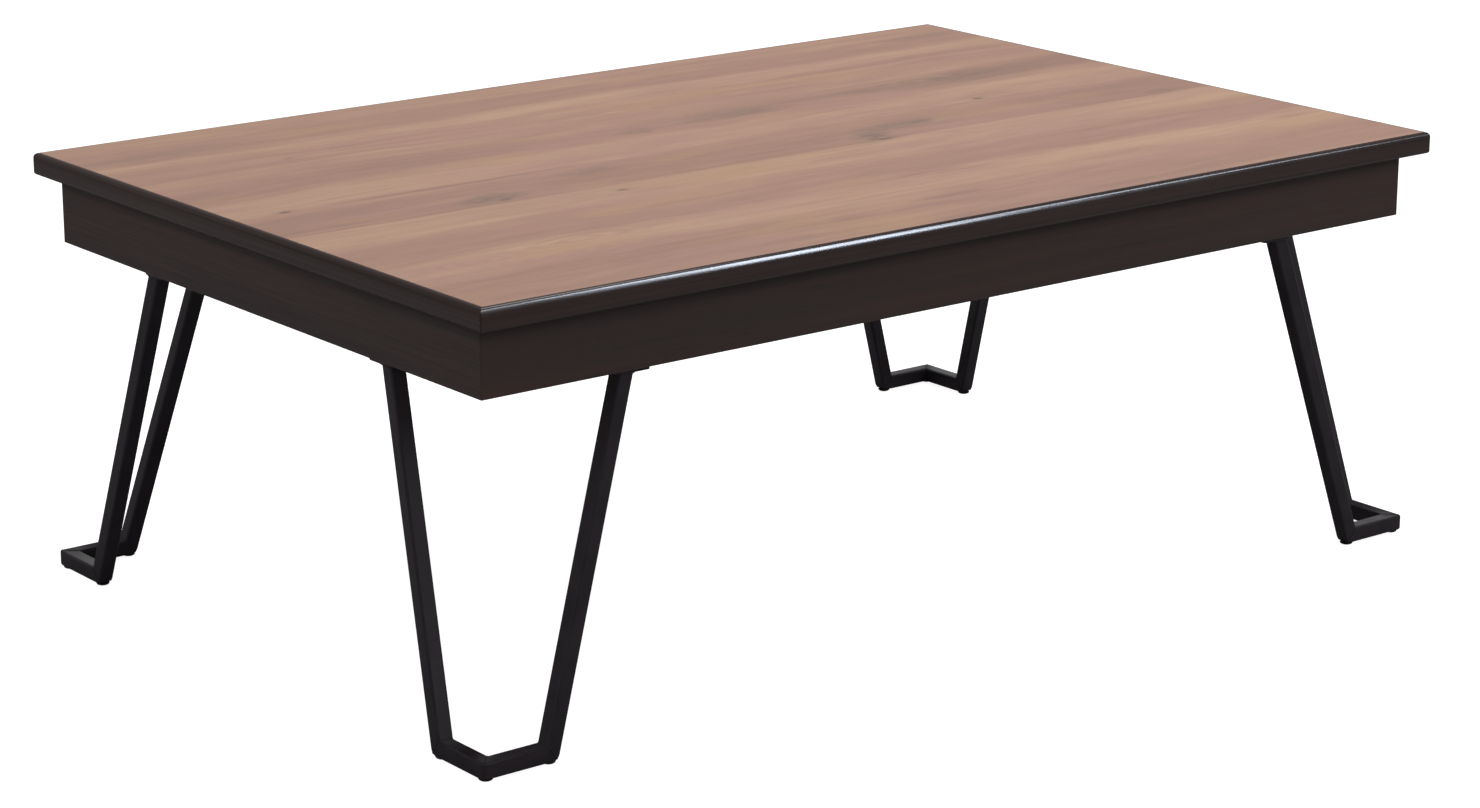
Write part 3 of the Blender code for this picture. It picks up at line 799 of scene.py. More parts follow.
def rounded_outline(corners, radius, facets):
    """An outline with rounded corners, which run anticlockwise."""
    outline = []
    count = len(corners)
    for index, corner in enumerate(corners):
        corner = Vector(corner)
        before = (Vector(corners[index - 1]) - corner).normalized()
        after = (Vector(corners[(index + 1) % count]) - corner).normalized()
        half = before.angle(after) / 2
        centre = corner + (before + after).normalized() * radius / math.sin(half)
        first = corner + before * radius / math.tan(half) - centre
        start = math.atan2(first.y, first.x)
        turn = math.pi - 2 * half
        outline.extend(arc(centre, radius, start, start + turn, facets))
    return outline


def skinned(rings):
    """Rings of points skinned in order, and closed at both ends."""
    bm = bmesh.new()
    rows = [[bm.verts.new(point) for point in ring] for ring in rings]
    count = len(rows[0])
    for row, following in zip(rows, rows[1:]):
        for index in range(count):
            after = (index + 1) % count
            bm.faces.new((row[index], row[after], following[after], following[index]))
    bm.faces.new(rows[0])
    bm.faces.new(rows[-1])
    return bm


def slab(outline, low, high):
    """A flat outline given thickness between two levels."""
    return skinned([[(x, y, level) for x, y in outline] for level in (low, high)])


def rectangle(low, high):
    return ((low[0], low[1]), (high[0], low[1]), (high[0], high[1]), (low[0], high[1]))


def mitred_bar(looks, profile, span, distance, facets, turns):
    """A bar on one side of a frame, mitred at both ends, its corners rounded in plan.

    The profile's points are (inset from the outer face, height). The outer face lies at y = -distance
    before the bar is turned to its side.
    """
    rings = []
    angles = [HALF_QUARTER * step / facets for step in range(facets + 1)]
    for end in (-1, 1):
        for angle in angles if end > 0 else reversed(angles):
            least = looks.corner_round * (1 - math.cos(angle))
            behind = looks.corner_round * (math.cos(angle) - math.sin(angle))
            behind += looks.joint_gap / math.sqrt(2)
            ring = []
            for inset, level in profile:
                inset = max(inset, least)
                ring.append((end * (span / 2 - inset - behind), inset - distance, level))
            rings.append(ring)
    bm = skinned(rings)
    bmesh.ops.rotate(bm, verts=bm.verts[:], matrix=Matrix.Rotation(QUARTER_TURN * turns, 3, "Z"))
    return bm


def moulding_profile(looks, width, low, high):
    """Section of the edge moulding: a round lower edge, a face that curves back, a round upper edge."""
    half_turn = math.pi
    bend = half_turn - looks.face_lean
    lean_cosine, lean_sine = math.cos(looks.face_lean), math.sin(looks.face_lean)
    inset = looks.top_round * lean_cosine + looks.face_round * (1 - lean_cosine)
    top = (inset, high - looks.top_round)
    face = (looks.face_round, top[1] - (looks.face_round - looks.top_round) * lean_sine)
    bottom = (looks.bottom_round, low + looks.bottom_round)
    points = [(width, low)]
    points.extend(arc(bottom, looks.bottom_round, 1.5 * half_turn, half_turn, looks.round_facets))
    points.extend(arc(face, looks.face_round, half_turn, bend, looks.round_facets))
    points.extend(arc(top, looks.top_round, bend, half_turn / 2, looks.round_facets))
    points.extend(((width - looks.face_ease, high), (width, high - looks.face_ease)))
    return points


def rail_profile(looks, width, low, high):
    """Section of an apron rail, with all four long edges eased."""
    outline = rounded_outline(rectangle((0.0, low), (width, high)), looks.arris, looks.arris_facets)
    return outline[::-1]


def settled(name, blank):
    """The evaluated mesh of a blank, which is then removed."""
    bpy.context.view_layer.update()
    shaped = blank.evaluated_get(bpy.context.evaluated_depsgraph_get())
    mesh = bpy.data.meshes.new_from_object(shaped)
    mesh.name = name
    bpy.data.objects.remove(blank, do_unlink=True)
    return mesh


def blank_from(name, mesh):
    blank = bpy.data.objects.new(name + "_blank", mesh)
    bpy.context.scene.collection.objects.link(blank)
    return blank


def finished_mesh(name, bm, ease=0.0, facets=3):
    """Closes a shape, eases its sharp edges if asked, and gives it clean shading."""
    bmesh.ops.remove_doubles(bm, verts=bm.verts[:], dist=MERGE_DISTANCE)
    bmesh.ops.dissolve_degenerate(bm, dist=MERGE_DISTANCE, edges=bm.edges[:])
    bmesh.ops.recalc_face_normals(bm, faces=bm.faces[:])
    mesh = bpy.data.meshes.new(name)
    bm.to_mesh(mesh)
    bm.free()
    blank = blank_from(name, mesh)
    if ease > 0:
        bevel = blank.modifiers.new("ease", "BEVEL")
        bevel.width = ease
        bevel.segments = facets
        bevel.limit_method = "ANGLE"
        bevel.angle_limit = SHARP_ANGLE
    shaped = settled(name, blank)
    shaped.shade_smooth()
    shaped.set_sharp_from_angle(angle=SHARP_ANGLE)
    blank = blank_from(name, shaped)
    weighted = blank.modifiers.new("even_shading", "WEIGHTED_NORMAL")
    weighted.keep_sharp = True
    return settled(name, blank)


def middle(node):
    low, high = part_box(node)
    return (low + high) / 2


# Pieces

def add_piece(name, mesh, material, slot, body, nodes):
    """Puts a finished mesh in the scene, in place of the frame's own nodes."""
    piece = bpy.data.objects.new(name, mesh)
    bpy.context.scene.collection.objects.link(piece)
    mesh.materials.clear()
    mesh.materials.append(material)
    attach(piece, body)
    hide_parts(*nodes)


def add_mitred_frame(looks, names, slot, body, profile, facets, materials):
    """Adds the four bars of a mitred frame. Names begin the pieces and the nodes they replace."""
    piece_name, node_name = names
    reach = (-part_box(node_name + "front")[0].y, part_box(node_name + "right")[1].x)
    for turns, side in enumerate(SIDES):
        distance = reach[turns % 2]
        span = 2 * reach[turns % 2 - 1]
        bm = mitred_bar(looks, profile, span, distance, facets, turns)
        mesh = finished_mesh(piece_name + side, bm)
        add_piece(piece_name + side, mesh, materials[turns % 2], slot, body, [node_name + side])


def nodes_from(prefix):
    return sorted(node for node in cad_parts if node.startswith(prefix))


def add_grown(name, nodes, tree, material, slot, sizes):
    """Adds one piece that a geometry tree grows from the foot of every node."""
    places = [Vector((*middle(node).xy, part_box(node)[0].z)) for node in nodes]
    low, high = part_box(nodes[0])
    values = {"Radius": (high.x - low.x) / 2, "Height": high.z - low.z, "Material": material, **sizes}
    mesh = grown_mesh(name, points_mesh(name, places), tree, values)
    add_piece(name, mesh, material, slot, "frame", nodes)


# Legs

class Leg:
    """One leg's places, read from the frame, in the leg's own frame.

    The foot's point is at the origin there, and its arms run along +X and +Y.
    """

    def __init__(self, looks, turns):
        self.looks = looks
        corner = CORNERS[turns]
        sides = (SIDES[turns], SIDES[turns - 1])
        foot = "leg_foot_" + corner
        uprights = [f"leg_upright_{corner}_{side}" for side in sides]
        self.nodes = [foot, *uprights]
        point = middle(f"glide_{corner}_point")
        point.z = 0.0
        self.place = Matrix.Translation(point) @ Matrix.Rotation(QUARTER_TURN * turns, 4, "Z")
        low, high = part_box(foot)
        self.bar = high.z - low.z
        axis_height = (low.z + high.z) / 2
        arm = self.local(middle(f"glide_{corner}_{sides[0]}")).x
        self.plate_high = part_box(uprights[0])[1].z
        self.plate_low = self.plate_high - looks.plate_thickness
        self.plate_end = max(self.local(place).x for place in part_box(uprights[0]))
        self.apron_face = min(self.local(place).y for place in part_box("apron_" + sides[0]))
        along = self.plate_end - looks.plate_ear - self.bar / 2
        inset = self.apron_face + looks.upright_inset
        # The bar's line from one plate round the foot to the other
        self.path = (
            Vector((along, inset, self.plate_low)),
            Vector((arm, 0.0, axis_height)),
            Vector((0.0, 0.0, axis_height)),
            Vector((0.0, arm, axis_height)),
            Vector((inset, along, self.plate_low)),
        )

    def local(self, place):
        return self.place.inverted() @ Vector(place)

    def bar_rings(self):
        """The bar's rings from plate to plate, and the loops where its joints are welded."""
        looks = self.looks
        path = self.path
        runs = [(end - start).normalized() for start, end in zip(path, path[1:])]
        radii = (looks.heel_round, looks.point_round, looks.heel_round)
        bends = [Bend(*spot) for spot in zip(path[1:-1], runs, runs[1:], radii)]
        half = self.bar / 2
        square = rectangle((-half, -half), (half, half))
        section = rounded_outline(square, looks.bar_round, looks.edge_facets)
        offsets = [Vector((0.0, across, up)).reflect(bends[0].mitre) for across, up in section]
        head_level = (self.plate_low + self.plate_high) / 2
        rings = [level_ring(offsets, path[0], runs[0], head_level)]
        plate_loops = [level_ring(offsets, path[0], runs[0], self.plate_low)]
        seam_loops = []
        for bend in bends:
            made, offsets = bend.rings(offsets, looks.bend_facets)
            rings.extend(made)
            seam_loops.append(made[len(made) // 2])
        rings.append(level_ring(offsets, path[-1], runs[-1], head_level))
        plate_loops.append(level_ring(offsets, path[-1], runs[-1], self.plate_low))
        return rings, plate_loops, seam_loops

    def plate(self, flip):
        """An upright's plate with rounded corners."""
        looks = self.looks
        low = (self.path[0].x - self.bar / 2 - looks.plate_heel, self.apron_face + looks.plate_setback)
        high = (self.plate_end, low[1] + looks.plate_depth)
        if flip:
            low, high = low[::-1], high[::-1]
        outline = rounded_outline(rectangle(low, high), looks.plate_corner, looks.edge_facets)
        return slab(outline, self.plate_low, self.plate_high)


class Bend:
    """Where a bar turns: a mitre whose outer side is rounded."""

    def __init__(self, place, before, after, radius):
        self.place = place
        self.before = before
        self.turn = before.angle(after)
        self.mitre = (before + after).normalized()
        self.outward = (before - after).normalized()
        self.inward = (after - before * after.dot(before)).normalized()
        self.radius = radius

    def meeting(self, offset):
        """Where the bar's line at this offset meets the mitre."""
        run = -offset.dot(self.mitre) / self.before.dot(self.mitre)
        return self.place + offset + self.before * run

    def rings(self, offsets, facets):
        """The rings round the bend, and the offsets after it."""
        meetings = [self.meeting(offset) for offset in offsets]
        reach = [point.dot(self.outward) for point in meetings]
        share = math.cos(self.turn / 2)
        start = max(reach) - self.radius / share
        rings = []
        for step in range(facets + 1):
            angle = self.turn * step / facets
            spoke = self.before * math.sin(angle) - self.inward * math.cos(angle)
            ring = []
            for point, out in zip(meetings, reach):
                radius = max(0.0, (out - start) * share)
                first = point - self.before * radius * math.tan(self.turn / 2)
                ring.append(first + self.inward * radius + radius * spoke)
            rings.append(ring)
        return rings, [offset.reflect(self.mitre) for offset in offsets]


def level_ring(offsets, place, direction, level):
    """Where the bar's lines meet a level plane."""
    starts = [place + offset for offset in offsets]
    return [start + direction * ((level - start.z) / direction.z) for start in starts]


def merged(meshes):
    """Several meshes as one bmesh."""
    bm = bmesh.new()
    for mesh in meshes:
        bm.from_mesh(mesh)
        bpy.data.meshes.remove(mesh)
    return bm


# Geometry node trees

SCREW_SEED = 5


def geometry_tree(name, inputs):
    """A geometry tree that takes and gives a geometry, with named inputs and a material."""
    sockets = {"Geometry": "Geometry", **inputs, "Material": "Material"}
    return new_tree(name, "GeometryNodeTree", sockets, ("Geometry",), "Geometry")


def close_tree(sheet, given, result, geometry):
    """Ends a tree: real geometry, shaded smooth, with its material."""
    real = sheet.output("GeometryNodeRealizeInstances", {"Geometry": geometry})
    smooth = sheet.output("GeometryNodeSetShadeSmooth", {"Geometry": real})
    painted = {"Geometry": smooth, "Material": given["Material"]}
    sheet.feed(result["Geometry"], sheet.output("GeometryNodeSetMaterial", painted))


def weld_tree():
    """A weld bead along every edge loop, with ripples along its length."""
    inputs = {"Radius": 0.001, "Ripple": 0.002, "Depth": 0.2}
    tree, sheet, given, result = geometry_tree("Weld Beads", inputs)
    points_per_ripple = 5.0
    curve = sheet.output("GeometryNodeMeshToCurve", {"Mesh": given["Geometry"]})
    spaced = {"Curve": curve, "Length": sheet.over(given["Ripple"], points_per_ripple)}
    curve = sheet.output("GeometryNodeResampleCurve", spaced, mode="LENGTH")
    run = sheet.add("GeometryNodeSplineParameter").outputs["Length"]
    phase = sheet.times(sheet.over(run, given["Ripple"]), math.tau)
    swell = sheet.times_plus(sheet.math("SINE", phase), given["Depth"], 1.0)
    round_section = {"Resolution": 8, "Radius": given["Radius"]}
    circle = sheet.output("GeometryNodeCurvePrimitiveCircle", round_section)
    swept = {"Curve": curve, "Profile Curve": circle, "Scale": swell, "Fill Caps": True}
    close_tree(sheet, given, result, sheet.output("GeometryNodeCurveToMesh", swept))
    return tree


def turned_blank(sheet, given, sides, rings, levels):
    """A short upright cylinder that stands at z = 0, with rings on its caps and levels on its side."""
    inputs = {
        "Vertices": sides,
        "Side Segments": levels,
        "Fill Segments": rings,
        "Radius": given["Radius"],
        "Depth": given["Height"],
    }
    blank = sheet.output("GeometryNodeMeshCylinder", inputs, fill_type="TRIANGLE_FAN")
    lift = sheet.combine(0.0, 0.0, sheet.times(given["Height"], 0.5))
    return sheet.output("GeometryNodeSetPosition", {"Geometry": blank, "Offset": lift})


def positions(sheet):
    return sheet.separate(sheet.output("GeometryNodeInputPosition"))


def on_points(sheet, given, shape, **rotation):
    points = sheet.output("GeometryNodeMeshToPoints", {"Mesh": given["Geometry"]})
    inputs = {"Points": points, "Instance": shape, **rotation}
    return sheet.output("GeometryNodeInstanceOnPoints", inputs)


def reshape(sheet, shape, radius_share, height):
    """Moves a turned blank's points to a new share of their radius and a new height."""
    start = positions(sheet)
    x, y = [sheet.times(start[axis], radius_share) for axis in "XY"]
    inputs = {"Geometry": shape, "Position": sheet.combine(x, y, height)}
    return sheet.output("GeometryNodeSetPosition", inputs)


def glide_tree():
    """A glide under every point: a low turned dome with a flat middle."""
    inputs = {"Radius": 0.006, "Height": 0.003, "Ease": 0.001, "Spread": 0.002}
    tree, sheet, given, result = geometry_tree("Glides", inputs)
    blank = turned_blank(sheet, given, sides=28, rings=3, levels=12)
    z = positions(sheet)["Z"]
    depth = sheet.math("SUBTRACT", 1.0, sheet.over(z, given["Ease"]), clamp=True)
    drawn = sheet.minus(1.0, sheet.math("SQRT", sheet.minus(1.0, sheet.square(depth))))
    share = sheet.minus(1.0, sheet.over(sheet.times(drawn, given["Spread"]), given["Radius"]))
    glide = reshape(sheet, blank, share, z)
    close_tree(sheet, given, result, on_points(sheet, given, glide))
    return tree


def screw_tree():
    """A pan-head screw under every point, head down, with a cross recess turned at random."""
    inputs = {"Radius": 0.004, "Height": 0.0022, "Recess": 0.001, "Slot": 0.0012, "Seed": SCREW_SEED}
    tree, sheet, given, result = geometry_tree("Plate Screws", inputs)
    head_face, crown_height, recess_reach = 0.1, 0.45, 0.58
    blank = turned_blank(sheet, given, sides=32, rings=10, levels=3)
    x, y, z = positions(sheet)
    share = sheet.over(sheet.hypotenuse(x, y), given["Radius"])
    low = sheet.math("LESS_THAN", z, sheet.times(given["Height"], head_face))
    crown = sheet.times(sheet.math("POWER", share, 3.0), sheet.times(given["Height"], crown_height))
    from_arm = sheet.math("MINIMUM", sheet.math("ABSOLUTE", x), sheet.math("ABSOLUTE", y))
    on_arm = sheet.math("LESS_THAN", from_arm, sheet.times(given["Slot"], 0.5))
    inside = sheet.math("LESS_THAN", share, recess_reach)
    recess = sheet.times(sheet.times(on_arm, inside), given["Recess"])
    raised = sheet.times(low, sheet.plus(crown, recess))
    head = reshape(sheet, blank, 1.0, sheet.plus(z, raised))
    spin = sheet.add("FunctionNodeRandomValue", data_type="FLOAT")
    for index, value in ((2, 0.0), (3, math.tau), (8, given["Seed"])):
        sheet.feed(spin.inputs[index], value)
    turn = sheet.combine(0.0, 0.0, spin.outputs[1])
    close_tree(sheet, given, result, on_points(sheet, given, head, Rotation=turn))
    return tree


def grown_mesh(name, base, tree, values):
    """The plain mesh that a geometry tree makes from a base mesh."""
    blank = blank_from(name, base)
    grower = blank.modifiers.new("grow", "NODES")
    grower.node_group = tree
    for item in tree.interface.items_tree:
        if item.name in values and item.in_out == "INPUT":
            grower[item.identifier] = values[item.name]
    return settled(name, blank)


def points_mesh(name, places):
    mesh = bpy.data.meshes.new(name + "_places")
    mesh.from_pydata([tuple(place) for place in places], [], [])
    return mesh


def loops_mesh(name, loops):
    """Closed loops of edges."""
    points, edges = [], []
    for loop in loops:
        start = len(points)
        count = len(loop)
        points.extend(tuple(place) for place in loop)
        edges.extend((start + index, start + (index + 1) % count) for index in range(count))
    mesh = bpy.data.meshes.new(name + "_paths")
    mesh.from_pydata(points, edges, [])
    return mesh


# Operators

class TABLE_OT_wood_face(bpy.types.Operator):
    """Adds the wood-grain sheet that covers the top"""

    bl_idname = "coffee_table.wood_face"
    bl_label = "Wood Face"

    def execute(self, context):
        looks = context.scene.table_board
        low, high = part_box("top_wood_face")
        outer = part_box("top_edge_front")[1].y + looks.seam
        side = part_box("top_edge_left")[1].x + looks.seam
        bm = slab(rectangle((side, outer), (-side, -outer)), low.z, high.z)
        mesh = finished_mesh("wood_face", bm, looks.face_ease, facets=2)
        material = wood_face_material(looks)
        add_piece("wood_face", mesh, material, "wood_grain_face", "top", ["top_wood_face"])
        return {"FINISHED"}


class TABLE_OT_board_layers(bpy.types.Operator):
    """Adds the board's core and the sheet under it"""

    bl_idname = "coffee_table.board_layers"
    bl_label = "Board Layers"

    def execute(self, context):
        looks = context.scene.table_board
        for name, node, material in (
            ("core_board", "top_core", chipboard_material(looks)),
            ("backer_sheet", "top_backer", backer_material(looks)),
        ):
            low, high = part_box(node)
            bm = slab(rectangle(low.xy, high.xy), low.z, high.z)
            mesh = finished_mesh(name, bm, looks.face_ease, facets=2)
            add_piece("top_" + name, mesh, material, name, "top", [node])
        return {"FINISHED"}


class TABLE_OT_edge_mouldings(bpy.types.Operator):
    """Adds the four dark mouldings round the top"""

    bl_idname = "coffee_table.edge_mouldings"
    bl_label = "Edge Mouldings"

    def execute(self, context):
        looks = context.scene.table_board
        low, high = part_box("top_edge_front")
        profile = moulding_profile(looks, high.y - low.y, low.z, high.z)
        materials = []
        for turns, run in enumerate(("long", "short")):
            materials.append(moulding_material(looks, "edge_moulding_" + run, turns))
        names = ("edge_moulding_", "top_edge_")
        facets = looks.round_facets // 2
        add_mitred_frame(looks, names, "edge_moulding", "top", profile, facets, materials)
        return {"FINISHED"}


class TABLE_OT_apron_rails(bpy.types.Operator):
    """Adds the four dark rails of the apron"""

    bl_idname = "coffee_table.apron_rails"
    bl_label = "Apron Rails"

    def execute(self, context):
        looks = context.scene.table_apron
        low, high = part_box("apron_front")
        profile = rail_profile(looks, high.y - low.y, low.z, high.z)
        materials = []
        for turns, run in enumerate(("long", "short")):
            materials.append(apron_material(looks, "apron_wrap_" + run, turns, high.z))
        names = ("apron_rail_", "apron_")
        add_mitred_frame(looks, names, "apron_wrap", "frame", profile, looks.arris_facets, materials)
        return {"FINISHED"}


class TABLE_OT_inner_boards(bpy.types.Operator):
    """Adds the corner gussets and the cross rails inside the apron"""

    bl_idname = "coffee_table.inner_boards"
    bl_label = "Inner Boards"

    def execute(self, context):
        looks = context.scene.table_apron
        rail_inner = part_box("apron_back")[0].y
        plain = bare_wood_material(looks)
        for side in ("left", "right"):
            node = "cross_rail_" + side
            low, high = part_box(node)
            outline = rectangle((low.x, -rail_inner), (high.x, rail_inner))
            self.add_board(node, slab(outline, low.z, high.z), plain, looks.bare_ease)
        plywood = gusset_material(looks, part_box("corner_gusset_front_left")[0].z)
        for turns, corner in enumerate(CORNERS):
            node = "corner_gusset_" + corner
            self.add_board(node, self.gusset(node, turns), plywood, looks.bare_ease)
        return {"FINISHED"}

    def add_board(self, node, bm, material, ease):
        mesh = finished_mesh(node, bm, ease)
        add_piece("inner_" + node, mesh, material, "bare_wood", "frame", [node])

    def gusset(self, node, turns):
        """A blunt triangle read from the node's own corners."""
        low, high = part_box(node)
        turn = Matrix.Rotation(QUARTER_TURN * turns, 4, "Z")
        corners = [turn.inverted() @ vertex.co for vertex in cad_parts[node].data.vertices]
        start = min(place.x for place in corners), min(place.y for place in corners)
        reach = max(place.x for place in corners)
        blunt = max(place.y for place in corners if place.x > reach - MERGE_DISTANCE)
        side = blunt - start[1]
        far = start[1] + reach - start[0]
        outline = (start, (reach, start[1]), (reach, blunt), (start[0] + side, far), (start[0], far))
        bm = slab(outline, low.z, high.z)
        bmesh.ops.transform(bm, matrix=turn, verts=bm.verts[:])
        return bm


class TABLE_OT_rest_strips(bpy.types.Operator):
    """Adds the felt tape that the top rests on"""

    bl_idname = "coffee_table.rest_strips"
    bl_label = "Rest Strips"

    def execute(self, context):
        material = felt_material(context.scene.table_apron)
        for side in ("front", "back"):
            node = "rest_strip_" + side
            low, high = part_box(node)
            quarter_width = (high.y - low.y) / 4
            third_height = (high.z - low.z) / 3
            outline = rounded_outline(rectangle(low.xy, high.xy), quarter_width, facets=6)
            mesh = finished_mesh(node, slab(outline, low.z, high.z), third_height)
            add_piece("felt_" + node, mesh, material, "rest_felt", "frame", [node])
        return {"FINISHED"}


class TABLE_OT_legs(bpy.types.Operator):
    """Adds the four bar legs with their plates"""

    bl_idname = "coffee_table.legs"
    bl_label = "Legs"

    def execute(self, context):
        looks = context.scene.table_legs
        material = powder_coat_material(looks)
        for turns, corner in enumerate(CORNERS):
            leg = Leg(looks, turns)
            shapes = [finished_mesh("bar", skinned(leg.bar_rings()[0]))]
            for flip in (False, True):
                shapes.append(finished_mesh("plate", leg.plate(flip), looks.plate_ease))
            whole = merged(shapes)
            bmesh.ops.transform(whole, matrix=leg.place, verts=whole.verts[:])
            name = "leg_" + corner
            add_piece(name, finished_mesh(name, whole), material, "leg_steel", "frame", leg.nodes)
        return {"FINISHED"}


class TABLE_OT_weld_beads(bpy.types.Operator):
    """Adds the welds under the plates and at the bends"""

    bl_idname = "coffee_table.weld_beads"
    bl_label = "Weld Beads"

    def execute(self, context):
        looks = context.scene.table_legs
        material = bpy.data.objects["leg_" + CORNERS[0]].active_material
        tree = weld_tree()
        plate_loops, seam_loops = [], []
        for turns in range(len(CORNERS)):
            leg = Leg(looks, turns)
            for loops, found in zip((plate_loops, seam_loops), leg.bar_rings()[1:]):
                loops.extend([leg.place @ point for point in loop] for loop in found)
        values = {"Ripple": looks.ripple, "Depth": looks.ripple_depth, "Material": material}
        for name, loops, radius in (
            ("plate_welds", plate_loops, looks.plate_bead),
            ("bend_welds", seam_loops, looks.seam_bead),
        ):
            mesh = grown_mesh(name, loops_mesh(name, loops), tree, {"Radius": radius, **values})
            add_piece(name, mesh, material, "leg_steel", "frame", [])
        return {"FINISHED"}


class TABLE_OT_glides(bpy.types.Operator):
    """Adds the glides under the feet"""

    bl_idname = "coffee_table.glides"
    bl_label = "Glides"

    def execute(self, context):
        looks = context.scene.table_legs
        nodes = nodes_from("glide_")
        sizes = {"Ease": looks.glide_ease, "Spread": looks.glide_spread}
        add_grown("glides", nodes, glide_tree(), glide_material(looks), "glide_plastic", sizes)
        return {"FINISHED"}


class TABLE_OT_plate_screws(bpy.types.Operator):
    """Adds the screws that hold the plates"""

    bl_idname = "coffee_table.plate_screws"
    bl_label = "Plate Screws"

    def execute(self, context):
        looks = context.scene.table_legs
        nodes = nodes_from("plate_screw_")
        plate_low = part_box("leg_upright_front_left_front")[1].z - looks.plate_thickness
        sizes = {
            "Height": plate_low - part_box(nodes[0])[0].z,
            "Recess": looks.screw_recess,
            "Slot": looks.recess_width,
            "Seed": SCREW_SEED,
        }
        add_grown("plate_screws", nodes, screw_tree(), screw_material(looks), "screw_steel", sizes)
        return {"FINISHED"}


TABLE_MIDDLE = (0.0, 0.0, 0.2)
APRON_MIDDLE = (0.0, 0.0, 0.25)
FRONT_EDGE = (-0.23, -0.35, 0.38)
FLOOR_REACH = 12.0
COOL_WHITE = (0.77, 0.86, 1.0)
FRONT_MOULDING = ("edge_moulding_front",)
ALL_LEGS = tuple("leg_" + corner for corner in CORNERS)
# Lights on the whole table: name, place, aim, width and height, power
SOFTBOXES = (
    ("softbox_overhead", (0.5, 0.0, 3.0), TABLE_MIDDLE, (1.2, 2.0), 58.0),
    ("softbox_left", (-2.9, 0.3, 2.0), TABLE_MIDDLE, (2.2, 1.4), 15.0),
    ("softbox_front", (1.5, -2.9, 2.0), APRON_MIDDLE, (2.2, 1.4), 26.0),
)
# Lights that only some pieces reflect: a softbox, and then its turn in degrees, colour and pieces
GLOSS_LIGHTS = (
    (
        ("strip_bright", (1.533, -2.279, 1.535), FRONT_EDGE, (0.43, 1.97), 172.0),
        (-9.6, COOL_WHITE, FRONT_MOULDING),
    ),
    (
        ("strip_faint", (2.397, -2.198, 2.521), FRONT_EDGE, (0.57, 2.0), 98.0),
        (0.0, COOL_WHITE, FRONT_MOULDING),
    ),
    (
        ("backdrop", (2.9, 3.6, 1.1), TABLE_MIDDLE, (6.0, 2.2), 20.0),
        (0.0, WHITE, ALL_LEGS),
    ),
)


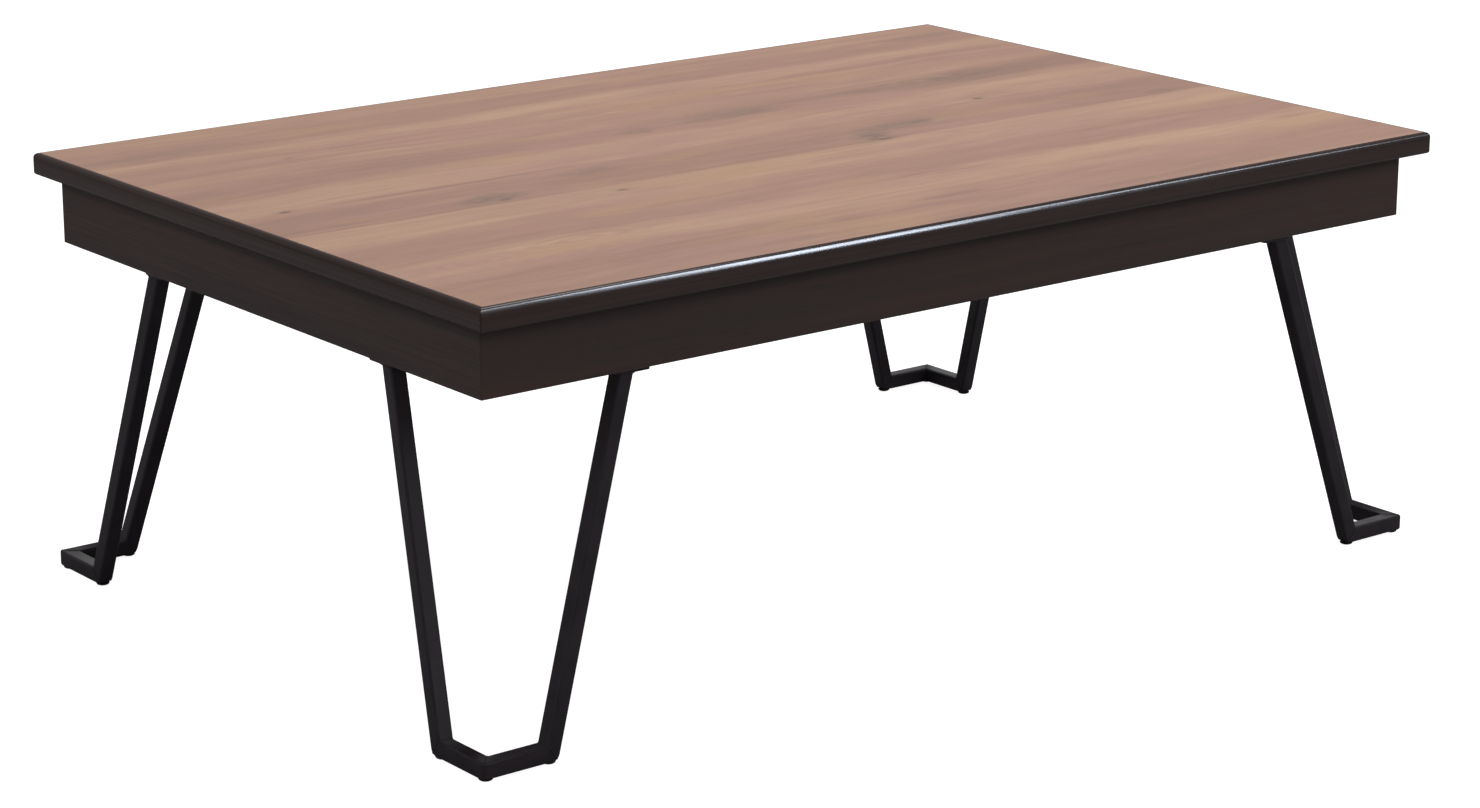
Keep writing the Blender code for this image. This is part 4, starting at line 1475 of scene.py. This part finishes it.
class TABLE_OT_stage(bpy.types.Operator):
    """Adds the floor, the lights and the camera"""

    bl_idname = "coffee_table.stage"
    bl_label = "Stage"

    def execute(self, context):
        scene = context.scene
        looks = scene.table_stage
        scene.view_settings.view_transform = "Standard"
        self.add_floor(scene, looks)
        self.add_sky(scene, looks)
        for softbox in SOFTBOXES:
            self.add_softbox(scene, *softbox)
        for softbox, gloss in GLOSS_LIGHTS:
            self.add_gloss_light(scene, softbox, *gloss)
        self.add_camera(scene, looks)
        return {"FINISHED"}

    def add_floor(self, scene, looks):
        bm = bmesh.new()
        bmesh.ops.create_grid(bm, x_segments=1, y_segments=1, size=FLOOR_REACH)
        mesh = bpy.data.meshes.new("studio_floor")
        bm.to_mesh(mesh)
        bm.free()
        mesh.materials.append(floor_material(looks))
        floor = bpy.data.objects.new("studio_floor", mesh)
        scene.collection.objects.link(floor)
        floor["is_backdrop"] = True

    def add_sky(self, scene, looks):
        world = bpy.data.worlds.new("studio_sky")
        world.use_nodes = True
        background = world.node_tree.nodes["Background"]
        background.inputs["Color"].default_value = opaque(WHITE)
        background.inputs["Strength"].default_value = looks.sky
        scene.world = world

    def add_softbox(self, scene, name, place, target, size, power):
        lamp = bpy.data.lights.new(name, "AREA")
        lamp.shape = "RECTANGLE"
        lamp.size, lamp.size_y = size
        lamp.energy = power
        box = bpy.data.objects.new(name, lamp)
        box.location = place
        box.rotation_euler = (Vector(target) - Vector(place)).to_track_quat("-Z", "Y").to_euler()
        box.visible_camera = False
        scene.collection.objects.link(box)
        return box

    def add_gloss_light(self, scene, softbox, turn, colour, pieces):
        box = self.add_softbox(scene, *softbox)
        box.rotation_euler.rotate_axis("Z", math.radians(turn))
        box.data.color = colour
        box.visible_diffuse = False
        receivers = bpy.data.collections.new(box.name + "_receivers")
        for piece in pieces:
            receivers.objects.link(bpy.data.objects[piece])
        box.light_linking.receiver_collection = receivers

    def add_camera(self, scene, looks):
        lens = bpy.data.cameras.new("photo_camera")
        lens.sensor_fit = "HORIZONTAL"
        lens.lens = looks.focal_pixels / PHOTO_WIDTH * lens.sensor_width
        camera = bpy.data.objects.new("photo_camera", lens)
        turn = (
            Matrix.Rotation(-looks.camera_yaw, 4, "Z")
            @ Matrix.Rotation(QUARTER_TURN + looks.camera_pitch, 4, "X")
            @ Matrix.Rotation(looks.camera_roll, 4, "Z")
        )
        camera.matrix_world = Matrix.Translation(looks.camera_place) @ turn
        scene.collection.objects.link(camera)
        scene.camera = camera


OPERATORS = (
    TABLE_OT_wood_face,
    TABLE_OT_board_layers,
    TABLE_OT_edge_mouldings,
    TABLE_OT_apron_rails,
    TABLE_OT_inner_boards,
    TABLE_OT_rest_strips,
    TABLE_OT_legs,
    TABLE_OT_weld_beads,
    TABLE_OT_glides,
    TABLE_OT_plate_screws,
    TABLE_OT_stage,
)


class TABLE_PT_panel(bpy.types.Panel):
    """Lists the table's pieces and settings"""

    bl_idname = "TABLE_PT_panel"
    bl_label = "Coffee Table"
    bl_space_type = "VIEW_3D"
    bl_region_type = "UI"
    bl_category = "Coffee Table"

    def draw(self, context):
        for operator in OPERATORS:
            self.layout.operator(operator.bl_idname)
        for name, group in SETTINGS:
            box = self.layout.box()
            settings = getattr(context.scene, name)
            for label in group.__annotations__:
                box.prop(settings, label)


CLASSES = (*(group for name, group in SETTINGS), *OPERATORS, TABLE_PT_panel)


def register():
    for item in CLASSES:
        bpy.utils.register_class(item)
    for name, group in SETTINGS:
        setattr(bpy.types.Scene, name, PointerProperty(type=group))


def unregister():
    for name, group in SETTINGS:
        delattr(bpy.types.Scene, name)
    for item in reversed(CLASSES):
        bpy.utils.unregister_class(item)


def main():
    register()
    for operator in OPERATORS:
        group, name = operator.bl_idname.split(".")
        getattr(getattr(bpy.ops, group), name)()
    for label, box in (("cad", CAD_BOX), ("visual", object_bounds())):
        [list(corner) for corner in box]


if __name__ == "__main__":
    main()
